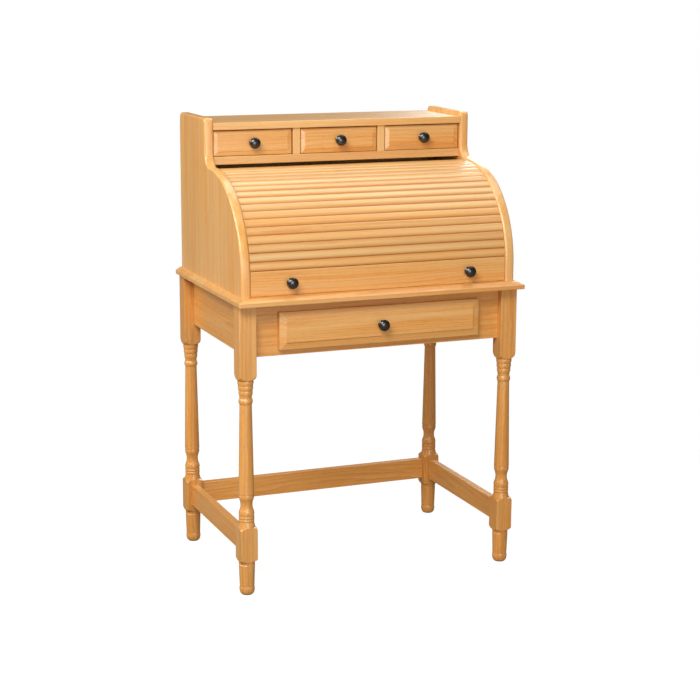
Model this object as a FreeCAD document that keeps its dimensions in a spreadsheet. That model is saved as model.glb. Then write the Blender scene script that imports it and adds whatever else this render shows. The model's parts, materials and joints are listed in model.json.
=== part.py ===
import FreeCAD, Part
import math
import os
import re
import Sketcher

# A roll-top writing desk on turned legs. A tambour of narrow slats rolls in curved tracks cut
# into two side panels, under a gallery of three small drawers. Millimetres, +Z up, the sitter's
# side at -Y, origin on the floor under the middle of the writing board.

SIZES = {
    # Writing board
    "top_width": 772,
    "top_depth": 541,
    "top_thickness": 19,
    "top_height": 762,
    "top_bevel_width": 15,
    "top_bevel_drop": 8,
    "top_side_overhang": 8,
    "top_front_overhang": 28,
    "top_back_overhang": 7,
    # Legs, from the top down to the shaft
    "leg_square": 44.5,
    "upper_block_height": 172,
    "pommel_height": 17,
    "pommel_crown": 2.6,
    "ring_height": 13,
    "ring_top_radius": 19.5,
    "ring_taper": 1.25,
    "ring_crown": 1.2,
    "neck_height": 7,
    "neck_radius": 15.3,
    "bead_height": 15,
    "bead_crown": 2.4,
    # Legs, from the floor up to the shaft
    "glide_thickness": 3,
    "glide_radius": 14,
    "foot_radius": 16.6,
    "foot_ring_height": 20.5,
    "foot_ring_radius": 17.8,
    "foot_ring_crown": 2.2,
    "ankle_radius": 18.7,
    "ankle_height": 54.5,
    "ankle_top_radius": 20.4,
    "quirk_height": 3.5,
    "quirk_radius": 19.1,
    "ankle_ring_height": 6.5,
    "ankle_ring_radius": 20.7,
    "lower_pommel_height": 6.5,
    "lower_pommel_crown": 1.1,
    "lower_block_height": 76.5,
    "collar_height": 13.5,
    "base_bead_height": 7.5,
    "base_bead_radius": 18.7,
    "base_bead_crown": 1.1,
    "collar_radius": 21.8,
    "vase_height": 17.5,
    "vase_crown": 1.9,
    "cove_height": 26.5,
    "cove_radius": 16.8,
    "cove_hollow": 2.3,
    "rim_height": 13,
    "rim_radius": 18.3,
    "rim_crown": 1.2,
    "shaft_radius": 19.7,
    # Aprons and stretchers
    "apron_height": 133,
    "apron_thickness": 19,
    "apron_front_setback": 20,
    "apron_side_setback": 26,
    "stretcher_height": 57,
    "stretcher_thickness": 19,
    "stretcher_rise": 12.5,
    "tenon_length": 20,
    "tenon_thickness": 9,
    "tenon_shoulder": 8,
    "joint_fit": 0.2,
    "edge_ease": 1.5,
    # Corner blocks and screws
    "corner_block_reach": 34,
    "corner_block_gap": 2,
    "corner_block_height": 40,
    "screw_radius": 2,
    "screw_head_radius": 4,
    "screw_head_height": 2.5,
    "screw_bite": 12,
    "screw_fit": 0.15,
    # Side panels of the upper case
    "panel_inset": 16,
    "panel_thickness": 24,
    "panel_top_rise": 12.5,
    "panel_front_setback": 32.5,
    "panel_back_inset": 7,
    "panel_radius": 250,
    "panel_spring_height": 41,
    "ogee_radius": 36,
    "panel_corner_radius": 12,
    "panel_edge_round": 5,
    "panel_screw_spacing": 130,
    "back_thickness": 4,
    "back_rebate": 10,
    "housing_depth": 7,
    # Tambour and its tracks
    "tambour_recess": 4,
    "slat_count": 19,
    "slat_angle": 5.16,
    "slat_thickness": 12,
    "slat_crown": 3.6,
    "slat_gap": 0.3,
    "tongue_thickness": 7,
    "tongue_length": 9,
    "tongue_relief": 2,
    "track_fit": 0.6,
    "track_depth": 10,
    "tambour_side_gap": 0.8,
    "canvas_thickness": 1,
    "canvas_side_margin": 30,
    "lift_rail_height": 61.5,
    "lift_rail_thickness": 12,
    "lift_knob_inset": 105,
    "rest_gap": 0.3,
    # Gallery
    "deck_rise": 23,
    "deck_thickness": 12,
    "gallery_rail_height": 21,
    "gallery_rail_depth": 45,
    "small_opening_height": 67.5,
    "gallery_top_thickness": 19,
    "gallery_top_round": 2,
    "divider_thickness": 20,
    "drawer_setback": 6,
    # Small drawers
    "small_gap": 2,
    "small_front_thickness": 18,
    "small_bevel_width": 11,
    "small_bevel_depth": 4,
    "small_drawer_back_room": 12.5,
    "small_side_thickness": 10,
    # Main drawer
    "main_front_margin": 61.5,
    "main_front_height": 95,
    "main_front_thickness": 19,
    "main_front_drop": 23,
    "main_front_lip": 9,
    "main_bevel_width": 18,
    "main_bevel_depth": 6,
    "main_drawer_back_room": 27.3,
    "main_side_thickness": 12,
    "main_side_play": 1,
    "drawer_bottom_thickness": 5,
    "drawer_bottom_lift": 6,
    "drawer_groove_depth": 5,
    "runner_width": 18,
    "runner_height": 15,
    "guide_thickness": 12,
    "guide_height": 25,
    # Knobs
    "knob_radius": 14.5,
    "knob_height": 24,
    "knob_base_radius": 11,
    "knob_base_height": 2.5,
    "knob_neck_radius": 7,
    "knob_neck_height": 9,
    "knob_neck_hollow": 1.3,
    "knob_rim_height": 14,
    "knob_rim_width": 5,
    "knob_rim_round": 1.5,
}

# Places that follow from the sizes, with the names of the sizes they are worked out from
TOP_UNDERSIDE = "(top_height - top_thickness)"
ANKLE = "(glide_thickness + foot_ring_height + ankle_height)"
LOWER_BLOCK = f"({ANKLE} + quirk_height + ankle_ring_height + lower_pommel_height)"
STRETCHER_Z = f"({LOWER_BLOCK} + stretcher_rise)"
LEG_X = "(top_width / 2 - top_side_overhang - leg_square / 2)"
LEG_FRONT_Y = "(top_front_overhang + leg_square / 2 - top_depth / 2)"
LEG_BACK_Y = "(top_depth / 2 - top_back_overhang - leg_square / 2)"
LEG_CLEAR_X = f"({LEG_X} - leg_square / 2)"
LEG_CLEAR_FRONT = f"({LEG_FRONT_Y} + leg_square / 2)"
LEG_CLEAR_BACK = f"({LEG_BACK_Y} - leg_square / 2)"
APRON_BOTTOM = f"({TOP_UNDERSIDE} - apron_height)"
APRON_FACE_Y = f"({LEG_FRONT_Y} - leg_square / 2 + apron_front_setback)"
APRON_FRONT_INSIDE = f"({APRON_FACE_Y} + apron_thickness)"
APRON_BACK_INSIDE = f"({LEG_BACK_Y} + leg_square / 2 - apron_front_setback - apron_thickness)"
APRON_SIDE_INSIDE = f"({LEG_X} + leg_square / 2 - apron_side_setback - apron_thickness)"
PANEL_INNER_X = "(top_width / 2 - panel_inset - panel_thickness)"
PANEL_BACK_Y = "(top_depth / 2 - panel_back_inset)"
TRACK_Y = "(panel_front_setback + panel_radius - top_depth / 2)"
TRACK_Z = "(top_height + panel_spring_height)"
SLAT_FACE = "(panel_radius - tambour_recess)"
SLAT_BACK = f"({SLAT_FACE} - slat_thickness)"
SLAT_WIDTH = f"(2 * {SLAT_BACK} * tan(slat_angle / 2) - slat_gap)"
LIFT_RAIL_FOOT = "(rest_gap - panel_spring_height)"
LIFT_RAIL_MIDDLE = f"({LIFT_RAIL_FOOT} + lift_rail_height / 2)"
LIFT_RAIL_TOP = f"({LIFT_RAIL_FOOT} + lift_rail_height)"
LIFT_KNOB_X = f"({PANEL_INNER_X} - lift_knob_inset)"
FIRST_SLAT = f"(asin(({LIFT_RAIL_TOP} + slat_gap + {SLAT_WIDTH} / 2) / {SLAT_BACK}) / 1 deg)"
TAIL = f"({FIRST_SLAT} + (slat_count - 0.5) * slat_angle)"
GALLERY_FRONT_Y = f"({TRACK_Y} + ogee_radius)"
RAIL_FRONT_Y = f"({GALLERY_FRONT_Y} + drawer_setback)"
BACK_FACE_Y = f"({PANEL_BACK_Y} - back_thickness)"
DECK_Z = f"({TRACK_Z} + panel_radius + deck_rise)"
GALLERY_Z = f"({DECK_Z} + small_opening_height)"
PANEL_HEAD = f"({GALLERY_Z} + gallery_top_thickness + panel_top_rise - {TRACK_Z})"
SMALL_OPENING = f"((2 * {PANEL_INNER_X} - 2 * divider_thickness) / 3)"
DIVIDER_X = f"({SMALL_OPENING} / 2)"
MAIN_FRONT_BOTTOM = f"({TOP_UNDERSIDE} - main_front_drop - main_front_height)"
MAIN_FRONT_WIDTH = f"(2 * {LEG_CLEAR_X} - 2 * main_front_margin)"
MAIN_LENGTH = f"({APRON_BACK_INSIDE} - {APRON_FACE_Y} + rest_gap - main_drawer_back_room)"
MAIN_OPENING_X = f"({MAIN_FRONT_WIDTH} / 2 - main_front_lip)"
MAIN_OPENING_BOTTOM = f"({MAIN_FRONT_BOTTOM} + main_front_lip)"
MAIN_OPENING_HEIGHT = "(main_front_height - 2 * main_front_lip)"
BLOCK_FAR = f"({APRON_SIDE_INSIDE} - {MAIN_OPENING_X} - corner_block_gap)"

# The part of a quarter circle's radius by which its arc stands off its chord
QUARTER = "(1 - sqrt(0.5))"
SIDES = {"left": -1, "right": 1}
RING_COUNT = 3
BASE_BEAD_COUNT = 2

doc = FreeCAD.newDocument("RollTopDesk")
sheet = doc.addObject("Spreadsheet::Sheet", "Sizes")
pieces = []


def fill_sheet():
    """Write each size into a cell whose alias is the size's name."""
    for row, (name, size) in enumerate(SIZES.items(), start=1):
        sheet.set(f"A{row}", name)
        sheet.set(f"B{row}", str(size))
        sheet.setAlias(f"B{row}", name)
    doc.recompute()


def bound(text):
    """Return the expression with each size name pointing at its cell."""
    return re.sub(r"\b(?!deg\b)[a-z][a-z_]+\b(?!\()", lambda name: "Sizes." + name.group(0), text)


def number(text):
    """Work out an expression."""
    return float(sheet.evalExpression(bound(text)))


def bind(item, **expressions):
    """Bind properties of a document object to expressions of the sizes."""
    for name, text in expressions.items():
        item.setExpression(name, bound(text))


def place(item, at):
    """Bind the base of an object's placement."""
    for axis, text in zip("xyz", at):
        item.setExpression(f"Placement.Base.{axis}", bound(text))


def new_body(label, at=("0", "0", "0"), tilt=0):
    """Start a sub-part at a place, tilted about X by so many degrees."""
    body = doc.addObject("PartDesign::Body", label)
    body.Label = label
    body.AllowCompound = True
    body.Placement = FreeCAD.Placement(FreeCAD.Vector(), FreeCAD.Rotation(FreeCAD.Vector(1, 0, 0), tilt))
    place(body, at)
    pieces.append(body)
    return body


def block(body, at, size, kind="Additive"):
    """Add a rectangular block to a body, or take one away."""
    item = body.newObject(f"PartDesign::{kind}Box", "Block")
    bind(item, Length=size[0], Width=size[1], Height=size[2])
    place(item, at)
    return item


def rod(body, at, radius, length, tilt=0, kind="Additive"):
    """Add a round rod along +Z, or tilted about X, or bore one away."""
    item = body.newObject(f"PartDesign::{kind}Cylinder", "Rod")
    item.Placement = FreeCAD.Placement(FreeCAD.Vector(), FreeCAD.Rotation(FreeCAD.Vector(1, 0, 0), tilt))
    bind(item, Radius=radius, Height=length)
    place(item, at)
    return item


def bevel_block(body, low, high, bevel, depth):
    """Add a slab facing -Y whose front edges slope back by the bevel over the depth."""
    item = body.newObject("PartDesign::AdditiveWedge", "Bevel")
    bind(item, Xmin=f"{low[0]} + {bevel}", Xmax=f"{high[0]} - {bevel}")
    bind(item, Zmin=f"{low[1]} + {bevel}", Zmax=f"{high[1]} - {bevel}")
    bind(item, X2min=low[0], X2max=high[0], Z2min=low[1], Z2max=high[1])
    bind(item, Ymin="0", Ymax=depth)
    return item


def ease(body, radius="edge_ease", chosen=None):
    """Round the chosen edges of the body's last feature, or all of them."""
    doc.recompute()
    base = body.Tip
    names = [f"Edge{index}" for index, edge in enumerate(base.Shape.Edges, start=1)
             if chosen is None or chosen(edge)]
    item = body.newObject("PartDesign::Fillet", "Ease")
    item.Base = (base, names)
    bind(item, Radius=radius)
    return item


def plane_sketch(body, role):
    """Start a sketch on one of the body's origin planes."""
    sketch = body.newObject("Sketcher::SketchObject", "Outline")
    plane = [item for item in body.Origin.OriginFeatures if item.Role == role]
    sketch.AttachmentSupport = [(plane[0], "")]
    sketch.MapMode = "FlatFace"
    return sketch


def add_edge(sketch, start, end, sag):
    """Draw a line, or an arc that stands off its chord to the left by the sag."""
    if sag == 0:
        index = sketch.addGeometry(Part.LineSegment(start, end))
        return index, 1, 2
    chord = end - start
    left = FreeCAD.Vector(-chord.y, chord.x, 0).normalize()
    radius = (chord.Length ** 2 / 4 + sag ** 2) / (2 * abs(sag))
    side = math.copysign(1, sag)
    centre = (start + end) / 2 + left * (sag - side * radius)
    angles = [math.atan2(point.y - centre.y, point.x - centre.x) for point in (start, end)]
    first, last = (1, 2) if side < 0 else (2, 1)
    from_angle, to_angle = angles if side < 0 else angles[::-1]
    if to_angle < from_angle:
        to_angle += 2 * math.pi
    circle = Part.Circle(centre, FreeCAD.Vector(0, 0, 1), radius)
    index = sketch.addGeometry(Part.ArcOfCircle(circle, from_angle, to_angle))
    return index, first, last


def pin_down(sketch, kind, index, corner, text):
    """Bind one coordinate of a sketch point to an expression."""
    if text == "0":
        axis = -2 if kind == "DistanceX" else -1
        sketch.addConstraint(Sketcher.Constraint("PointOnObject", index, corner, axis))
        return
    constraint = sketch.addConstraint(Sketcher.Constraint(kind, -1, 1, index, corner, number(text)))
    sketch.setExpression(f"Constraints[{constraint}]", bound(text))


def draw_outline(sketch, corners):
    """Draw a closed outline of (across, up, sag) corners, where the sag curves the edge that follows."""
    places = [FreeCAD.Vector(number(across), number(up), 0) for across, up, sag in corners]
    edges = []
    for index, (across, up, sag) in enumerate(corners):
        start = places[index]
        end = places[(index + 1) % len(places)]
        edges.append(add_edge(sketch, start, end, number(sag)))
    for index, (across, up, sag) in enumerate(corners):
        edge, first, last = edges[index]
        previous, previous_first, previous_last = edges[index - 1]
        sketch.addConstraint(Sketcher.Constraint("Coincident", previous, previous_last, edge, first))
        pin_down(sketch, "DistanceX", edge, first, across)
        pin_down(sketch, "DistanceY", edge, first, up)
        if sag != "0":
            next_across, next_up, next_sag = corners[(index + 1) % len(corners)]
            chord = f"((({next_across}) - ({across}))^2 + (({next_up}) - ({up}))^2)"
            radius = f"{chord} / (8 * abs({sag})) + abs({sag}) / 2"
            constraint = sketch.addConstraint(Sketcher.Constraint("Radius", edge, number(radius)))
            sketch.setExpression(f"Constraints[{constraint}]", bound(radius))


def pad(body, corners, length, role="YZ_Plane", sides="One side", backwards=False):
    """Pad an outline drawn on one of the body's origin planes."""
    sketch = plane_sketch(body, role)
    draw_outline(sketch, corners)
    item = body.newObject("PartDesign::Pad", "Pad")
    item.Profile = sketch
    item.SideType = sides
    item.Reversed = backwards
    bind(item, Length=length)
    return item


def turn(body, corners):
    """Turn an outline of radius and height about the body's Z axis."""
    sketch = plane_sketch(body, "XZ_Plane")
    draw_outline(sketch, corners)
    item = body.newObject("PartDesign::Revolution", "Turning")
    item.Profile = sketch
    item.ReferenceAxis = (sketch, ["V_Axis"])
    item.Angle = 360
    return item


def sector(inner, outer, start, end):
    """Return the outline of a ring sector about the track's axis, with angles up from the front."""
    half_turn = f"(1 - cos(({end} - {start}) / 2))"
    return [
        (f"-{inner} * cos({start})", f"{inner} * sin({start})", f"{inner} * {half_turn}"),
        (f"-{inner} * cos({end})", f"{inner} * sin({end})", "0"),
        (f"-{outer} * cos({end})", f"{outer} * sin({end})", f"-{outer} * {half_turn}"),
        (f"-{outer} * cos({start})", f"{outer} * sin({start})", "0"),
    ]


def make_desk_top():
    """The writing board: a flat lower part, and an upper part that slopes at the front and the sides."""
    body = new_body("desk_top", ("0", "0", TOP_UNDERSIDE))
    flat = "(top_thickness - top_bevel_drop)"
    block(body, ("-top_width / 2", "-top_depth / 2", "0"), ("top_width", "top_depth", flat))
    upper = body.newObject("PartDesign::AdditiveWedge", "Bevel")
    upper.Placement = FreeCAD.Placement(FreeCAD.Vector(), FreeCAD.Rotation(FreeCAD.Vector(1, 0, 0), 90))
    bind(upper, Xmin="-top_width / 2", Xmax="top_width / 2")
    bind(upper, Zmin="-top_depth / 2", Zmax="top_depth / 2")
    bind(upper, X2min="top_bevel_width - top_width / 2", X2max="top_width / 2 - top_bevel_width")
    bind(upper, Z2min="-top_depth / 2", Z2max="top_depth / 2 - top_bevel_width")
    bind(upper, Ymin=flat, Ymax="top_thickness")
    doc.recompute()
    for x, y in panel_screw_places():
        rod(body, (x, y, "0"), "screw_head_radius + screw_fit", "screw_head_height", kind="Subtractive")
        rod(body, (x, y, "0"), "screw_radius + screw_fit", "top_thickness", kind="Subtractive")
    for x, y in corner_screw_places():
        rod(body, (x, y, "0"), "screw_radius + screw_fit", "screw_bite", kind="Subtractive")


def panel_screw_places():
    """Where screws come up through the board into the middle of each side panel."""
    middle = f"({LEG_FRONT_Y} + {LEG_BACK_Y}) / 2"
    across = f"({PANEL_INNER_X} + panel_thickness / 2)"
    return [(f"{side} * {across}", f"{middle} + {step} * panel_screw_spacing")
            for side in SIDES.values() for step in (-1, 0, 1)]


def corner_screw_places():
    """Where a screw goes up through the middle of each corner block into the board."""
    inward = f"({BLOCK_FAR} - corner_block_reach / 2) / 2"
    front = f"{APRON_FRONT_INSIDE} + {inward}"
    back = f"{APRON_BACK_INSIDE} - {inward}"
    return [(f"{side} * ({APRON_SIDE_INSIDE} - {inward})", y)
            for side in SIDES.values() for y in (front, back)]


def leg_turning():
    """Return the two outlines that the lathe cuts away: above the lower block, and the foot below it."""
    outside = "leg_square"
    corner = "(leg_square * sqrt(0.5) + edge_ease)"
    level = f"({TOP_UNDERSIDE} - upper_block_height)"
    upper_end = level
    shaft = [(corner, level, "pommel_crown")]
    level = f"({level} - pommel_height)"
    for ring in range(RING_COUNT):
        shaft.append((f"(ring_top_radius - {ring} * ring_taper)", level, "ring_crown"))
        level = f"({level} - ring_height)"
    shaft.append((f"(ring_top_radius - {RING_COUNT} * ring_taper)", level, "0"))
    level = f"({level} - neck_height)"
    shaft.append(("neck_radius", level, "bead_crown"))
    level = f"({level} - bead_height)"
    shaft.append(("neck_radius", level, "0"))
    lower_end = f"({LOWER_BLOCK} + lower_block_height)"
    collar = f"({lower_end} + lower_pommel_height)"
    level = f"({collar} + collar_height + {BASE_BEAD_COUNT} * base_bead_height + vase_height + cove_height)"
    shaft.append(("shaft_radius", f"({level} + rim_height)", "0"))
    shaft.append(("rim_radius", f"({level} + rim_height)", "rim_crown"))
    shaft.append(("rim_radius", level, "-cove_hollow"))
    level = f"({level} - cove_height)"
    shaft.append(("cove_radius", level, "vase_crown"))
    level = f"({level} - vase_height)"
    for bead in range(BASE_BEAD_COUNT):
        shaft.append(("base_bead_radius", level, "base_bead_crown"))
        level = f"({level} - base_bead_height)"
    shaft.append(("base_bead_radius", level, "0"))
    shaft.append(("collar_radius", collar, "lower_pommel_crown"))
    shaft.append((corner, lower_end, "0"))
    shaft.append((outside, lower_end, "0"))
    shaft.append((outside, upper_end, "0"))
    foot = [
        (corner, LOWER_BLOCK, "lower_pommel_crown"),
        ("ankle_ring_radius", f"({ANKLE} + quirk_height + ankle_ring_height)", "0"),
        ("ankle_top_radius", f"({ANKLE} + quirk_height)", "0"),
        ("quirk_radius", f"({ANKLE} + quirk_height / 2)", "0"),
        ("ankle_top_radius", ANKLE, "0"),
        ("ankle_radius", "(glide_thickness + foot_ring_height)", "0"),
        ("foot_ring_radius", "(glide_thickness + foot_ring_height)", "foot_ring_crown"),
        ("foot_radius", "glide_thickness", "0"),
        (outside, "glide_thickness", "0"),
        (outside, LOWER_BLOCK, "0"),
    ]
    return shaft, foot


def cut_mortise(body, along, centre, inward, low, high):
    """Cut a mortise for a tenon that comes in along X or Y from the leg's inner face."""
    depth = "(tenon_length + joint_fit)"
    edge = "leg_square / 2"
    start = f"{edge} - {depth}" if inward < 0 else f"-{edge}"
    across = f"{centre} - tenon_thickness / 2 - joint_fit"
    width = "(tenon_thickness + 2 * joint_fit)"
    at = (start, across, low) if along == "x" else (across, start, low)
    size = (depth, width) if along == "x" else (width, depth)
    block(body, at, (*size, f"{high} - {low}"), "Subtractive")


def make_leg(label, side, end):
    """One leg: a square blank, turned on the lathe, with mortises for what meets it."""
    body = new_body(label, (f"{side} * {LEG_X}", LEG_FRONT_Y if end < 0 else LEG_BACK_Y, "0"))
    half = "leg_square / 2"
    block(body, (f"-{half}", f"-{half}", "glide_thickness"),
          ("leg_square", "leg_square", f"{TOP_UNDERSIDE} - glide_thickness"))
    ease(body)
    for corners in leg_turning():
        sketch = plane_sketch(body, "XZ_Plane")
        draw_outline(sketch, corners)
        turning = body.newObject("PartDesign::Groove", "Turning")
        turning.Profile = sketch
        turning.ReferenceAxis = (sketch, ["V_Axis"])
        turning.Angle = 360
    apron_y = f"{end} * (leg_square / 2 - apron_front_setback - apron_thickness / 2)"
    apron_x = f"{side} * (leg_square / 2 - apron_side_setback - apron_thickness / 2)"
    cut_mortise(body, "x", apron_y, side, *tenon_levels(APRON_BOTTOM, "apron_height", "x"))
    cut_mortise(body, "y", apron_x, end, *tenon_levels(APRON_BOTTOM, "apron_height", "y"))
    cut_mortise(body, "y", "0", end, *tenon_levels(STRETCHER_Z, "stretcher_height", "y"))
    if end > 0:
        cut_mortise(body, "x", "0", side, *tenon_levels(STRETCHER_Z, "stretcher_height", "x"))


def tenon_levels(bottom, height, along):
    """Return the foot and head of a tenon: low half along X, high half along Y, so that two can pass."""
    middle = f"({bottom} + {height} / 2)"
    if along == "x":
        return f"({bottom} + tenon_shoulder)", middle
    return middle, f"({bottom} + {height} - tenon_shoulder)"


def tenoned_rail(label, along, at, length, thickness, height):
    """A rail with a tenon at each end; its corner is at the given place, without the tenons."""
    body = new_body(label, at)
    size = (length, thickness, height) if along == "x" else (thickness, length, height)
    block(body, ("0", "0", "0"), size)
    ease(body)
    low, high = tenon_levels("0", height, along)
    inset = f"({thickness} - tenon_thickness) / 2"
    section = ("tenon_length", "tenon_thickness")
    for start in ("-tenon_length", length):
        corner = (start, inset)
        if along == "x":
            block(body, (*corner, low), (*section, f"{high} - {low}"))
        else:
            block(body, (*corner[::-1], low), (*section[::-1], f"{high} - {low}"))
    return body


def make_aprons():
    """Four aprons under the board; the front one has the main drawer's opening."""
    span_x = f"2 * {LEG_CLEAR_X}"
    span_y = f"{LEG_CLEAR_BACK} - {LEG_CLEAR_FRONT}"
    front = tenoned_rail("apron_front", "x", (f"-{LEG_CLEAR_X}", APRON_FACE_Y, APRON_BOTTOM),
                         span_x, "apron_thickness", "apron_height")
    block(front, (f"{LEG_CLEAR_X} - {MAIN_OPENING_X}", "0", f"{MAIN_OPENING_BOTTOM} - {APRON_BOTTOM}"),
          (f"2 * {MAIN_OPENING_X}", "apron_thickness", MAIN_OPENING_HEIGHT), "Subtractive")
    tenoned_rail("apron_back", "x", (f"-{LEG_CLEAR_X}", APRON_BACK_INSIDE, APRON_BOTTOM),
                 span_x, "apron_thickness", "apron_height")
    for name, side in SIDES.items():
        x = APRON_SIDE_INSIDE if side > 0 else f"-{APRON_SIDE_INSIDE} - apron_thickness"
        tenoned_rail(f"apron_{name}", "y", (x, LEG_CLEAR_FRONT, APRON_BOTTOM),
                     span_y, "apron_thickness", "apron_height")


def make_stretchers():
    """Three stretchers between the lower blocks; the sitter's side is open."""
    half = "stretcher_thickness / 2"
    tenoned_rail("stretcher_back", "x", (f"-{LEG_CLEAR_X}", f"{LEG_BACK_Y} - {half}", STRETCHER_Z),
                 f"2 * {LEG_CLEAR_X}", "stretcher_thickness", "stretcher_height")
    for name, side in SIDES.items():
        at = (f"{side} * {LEG_X} - {half}", LEG_CLEAR_FRONT, STRETCHER_Z)
        tenoned_rail(f"stretcher_{name}", "y", at, f"{LEG_CLEAR_BACK} - {LEG_CLEAR_FRONT}",
                     "stretcher_thickness", "stretcher_height")


def make_glides():
    """Nail-on glides under the four feet."""
    body = new_body("foot_glides")
    for side in SIDES.values():
        for y in (LEG_FRONT_Y, LEG_BACK_Y):
            rod(body, (f"{side} * {LEG_X}", y, "0"), "glide_radius", "glide_thickness")


def make_corner_blocks():
    """Slanting blocks glued across the corners of the apron frame, and the screws that hold the board."""
    body = new_body("corner_blocks", ("0", "0", f"{TOP_UNDERSIDE} - corner_block_height"))
    near = f"({BLOCK_FAR} - corner_block_reach)"
    for side in SIDES.values():
        for wall, inward in ((APRON_FRONT_INSIDE, 1), (APRON_BACK_INSIDE, -1)):
            corners = [(f"{side} * ({APRON_SIDE_INSIDE} - {x})", f"{wall} + {inward} * {y}", "0")
                       for x, y in (("0", near), (near, "0"), (BLOCK_FAR, "0"), ("0", BLOCK_FAR))]
            pad(body, corners, "corner_block_height", role="XY_Plane")
    for x, y in corner_screw_places():
        rod(body, (x, y, "0"), "screw_radius + screw_fit", "corner_block_height", kind="Subtractive")
    screws = new_body("top_screws", ("0", "0", f"{TOP_UNDERSIDE} - corner_block_height"))
    for x, y in corner_screw_places():
        rod(screws, (x, y, "0"), "screw_radius", "corner_block_height + screw_bite")
        rod(screws, (x, y, "-screw_head_height"), "screw_head_radius", "screw_head_height")


def make_panel_screws():
    """Screws sunk into the underside of the board that hold the side panels."""
    body = new_body("panel_screws", ("0", "0", TOP_UNDERSIDE))
    for x, y in panel_screw_places():
        rod(body, (x, y, "0"), "screw_radius", "top_thickness + screw_bite")
        rod(body, (x, y, "0"), "screw_head_radius", "screw_head_height")


def panel_outline():
    """Return the side panel's outline about the track's axis: round front, hollow, upright gallery end."""
    foot = "-panel_spring_height"
    back = f"({PANEL_BACK_Y} - {TRACK_Y})"
    corner = "panel_corner_radius"
    return [
        ("-panel_radius", foot, "0"),
        ("-panel_radius", "0", f"{QUARTER} * panel_radius"),
        ("0", "panel_radius", f"-{QUARTER} * ogee_radius"),
        ("ogee_radius", "(panel_radius + ogee_radius)", "0"),
        ("ogee_radius", f"{PANEL_HEAD} - {corner}", f"{QUARTER} * {corner}"),
        (f"ogee_radius + {corner}", PANEL_HEAD, "0"),
        (f"{back} - {corner}", PANEL_HEAD, f"{QUARTER} * {corner}"),
        (back, f"{PANEL_HEAD} - {corner}", "0"),
        (back, foot, "0"),
    ]


def cut_track(body, backwards):
    """Cut the round track for the tongues into the panel's inner face."""
    sketch = plane_sketch(body, "YZ_Plane")
    radii = (f"{SLAT_BACK} - track_fit", f"{SLAT_BACK} + tongue_thickness + track_fit")
    for radius in radii:
        circle = Part.Circle(FreeCAD.Vector(), FreeCAD.Vector(0, 0, 1), number(radius))
        index = sketch.addGeometry(circle)
        sketch.addConstraint(Sketcher.Constraint("Coincident", index, 3, -1, 1))
        constraint = sketch.addConstraint(Sketcher.Constraint("Radius", index, number(radius)))
        sketch.setExpression(f"Constraints[{constraint}]", bound(radius))
    item = body.newObject("PartDesign::Pocket", "Track")
    item.Profile = sketch
    item.Reversed = backwards
    bind(item, Length="track_depth")


def make_side_panel(name, side):
    """One side panel, with the track and the housings for deck, rail, gallery top and back."""
    body = new_body(f"side_panel_{name}", (f"{side} * {PANEL_INNER_X}", TRACK_Y, TRACK_Z))
    pad(body, panel_outline(), "panel_thickness", backwards=side < 0)
    foot = number("-panel_spring_height")
    back = number(f"{PANEL_BACK_Y} - {TRACK_Y}")

    def shaped(edge):
        box = edge.BoundBox
        return box.XLength < 1e-6 and box.ZMax > foot + 1e-6 and box.YMin < back - 1e-6

    ease(body, "panel_edge_round", shaped)
    cut_track(body, side > 0)
    start = "0" if side > 0 else "-{depth}"

    def housing(depth, y, z, width, height):
        block(body, (start.format(depth=depth), y, z), (depth, width, height), "Subtractive")

    deck = f"({DECK_Z} - {TRACK_Z})"
    rail_front = f"({RAIL_FRONT_Y} - {TRACK_Y})"
    back_face = f"({BACK_FACE_Y} - {TRACK_Y})"
    housing("housing_depth", rail_front, f"{deck} - gallery_rail_height", "gallery_rail_depth",
            "gallery_rail_height")
    housing("housing_depth", f"{rail_front} + gallery_rail_depth", f"{deck} - deck_thickness",
            f"{back_face} - {rail_front} - gallery_rail_depth", "deck_thickness")
    housing("housing_depth", "ogee_radius", f"{GALLERY_Z} - {TRACK_Z}",
            f"{PANEL_BACK_Y} - {GALLERY_FRONT_Y}", "gallery_top_thickness")
    housing("back_rebate", back_face, "-panel_spring_height", "back_thickness",
            f"{GALLERY_Z} - top_height")
    for x, y in panel_screw_places():
        if (number(x) > 0) == (side > 0):
            rod(body, (f"{x} - {side} * {PANEL_INNER_X}", f"{y} - {TRACK_Y}", "-panel_spring_height"),
                "screw_radius + screw_fit", "screw_bite", kind="Subtractive")


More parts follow.
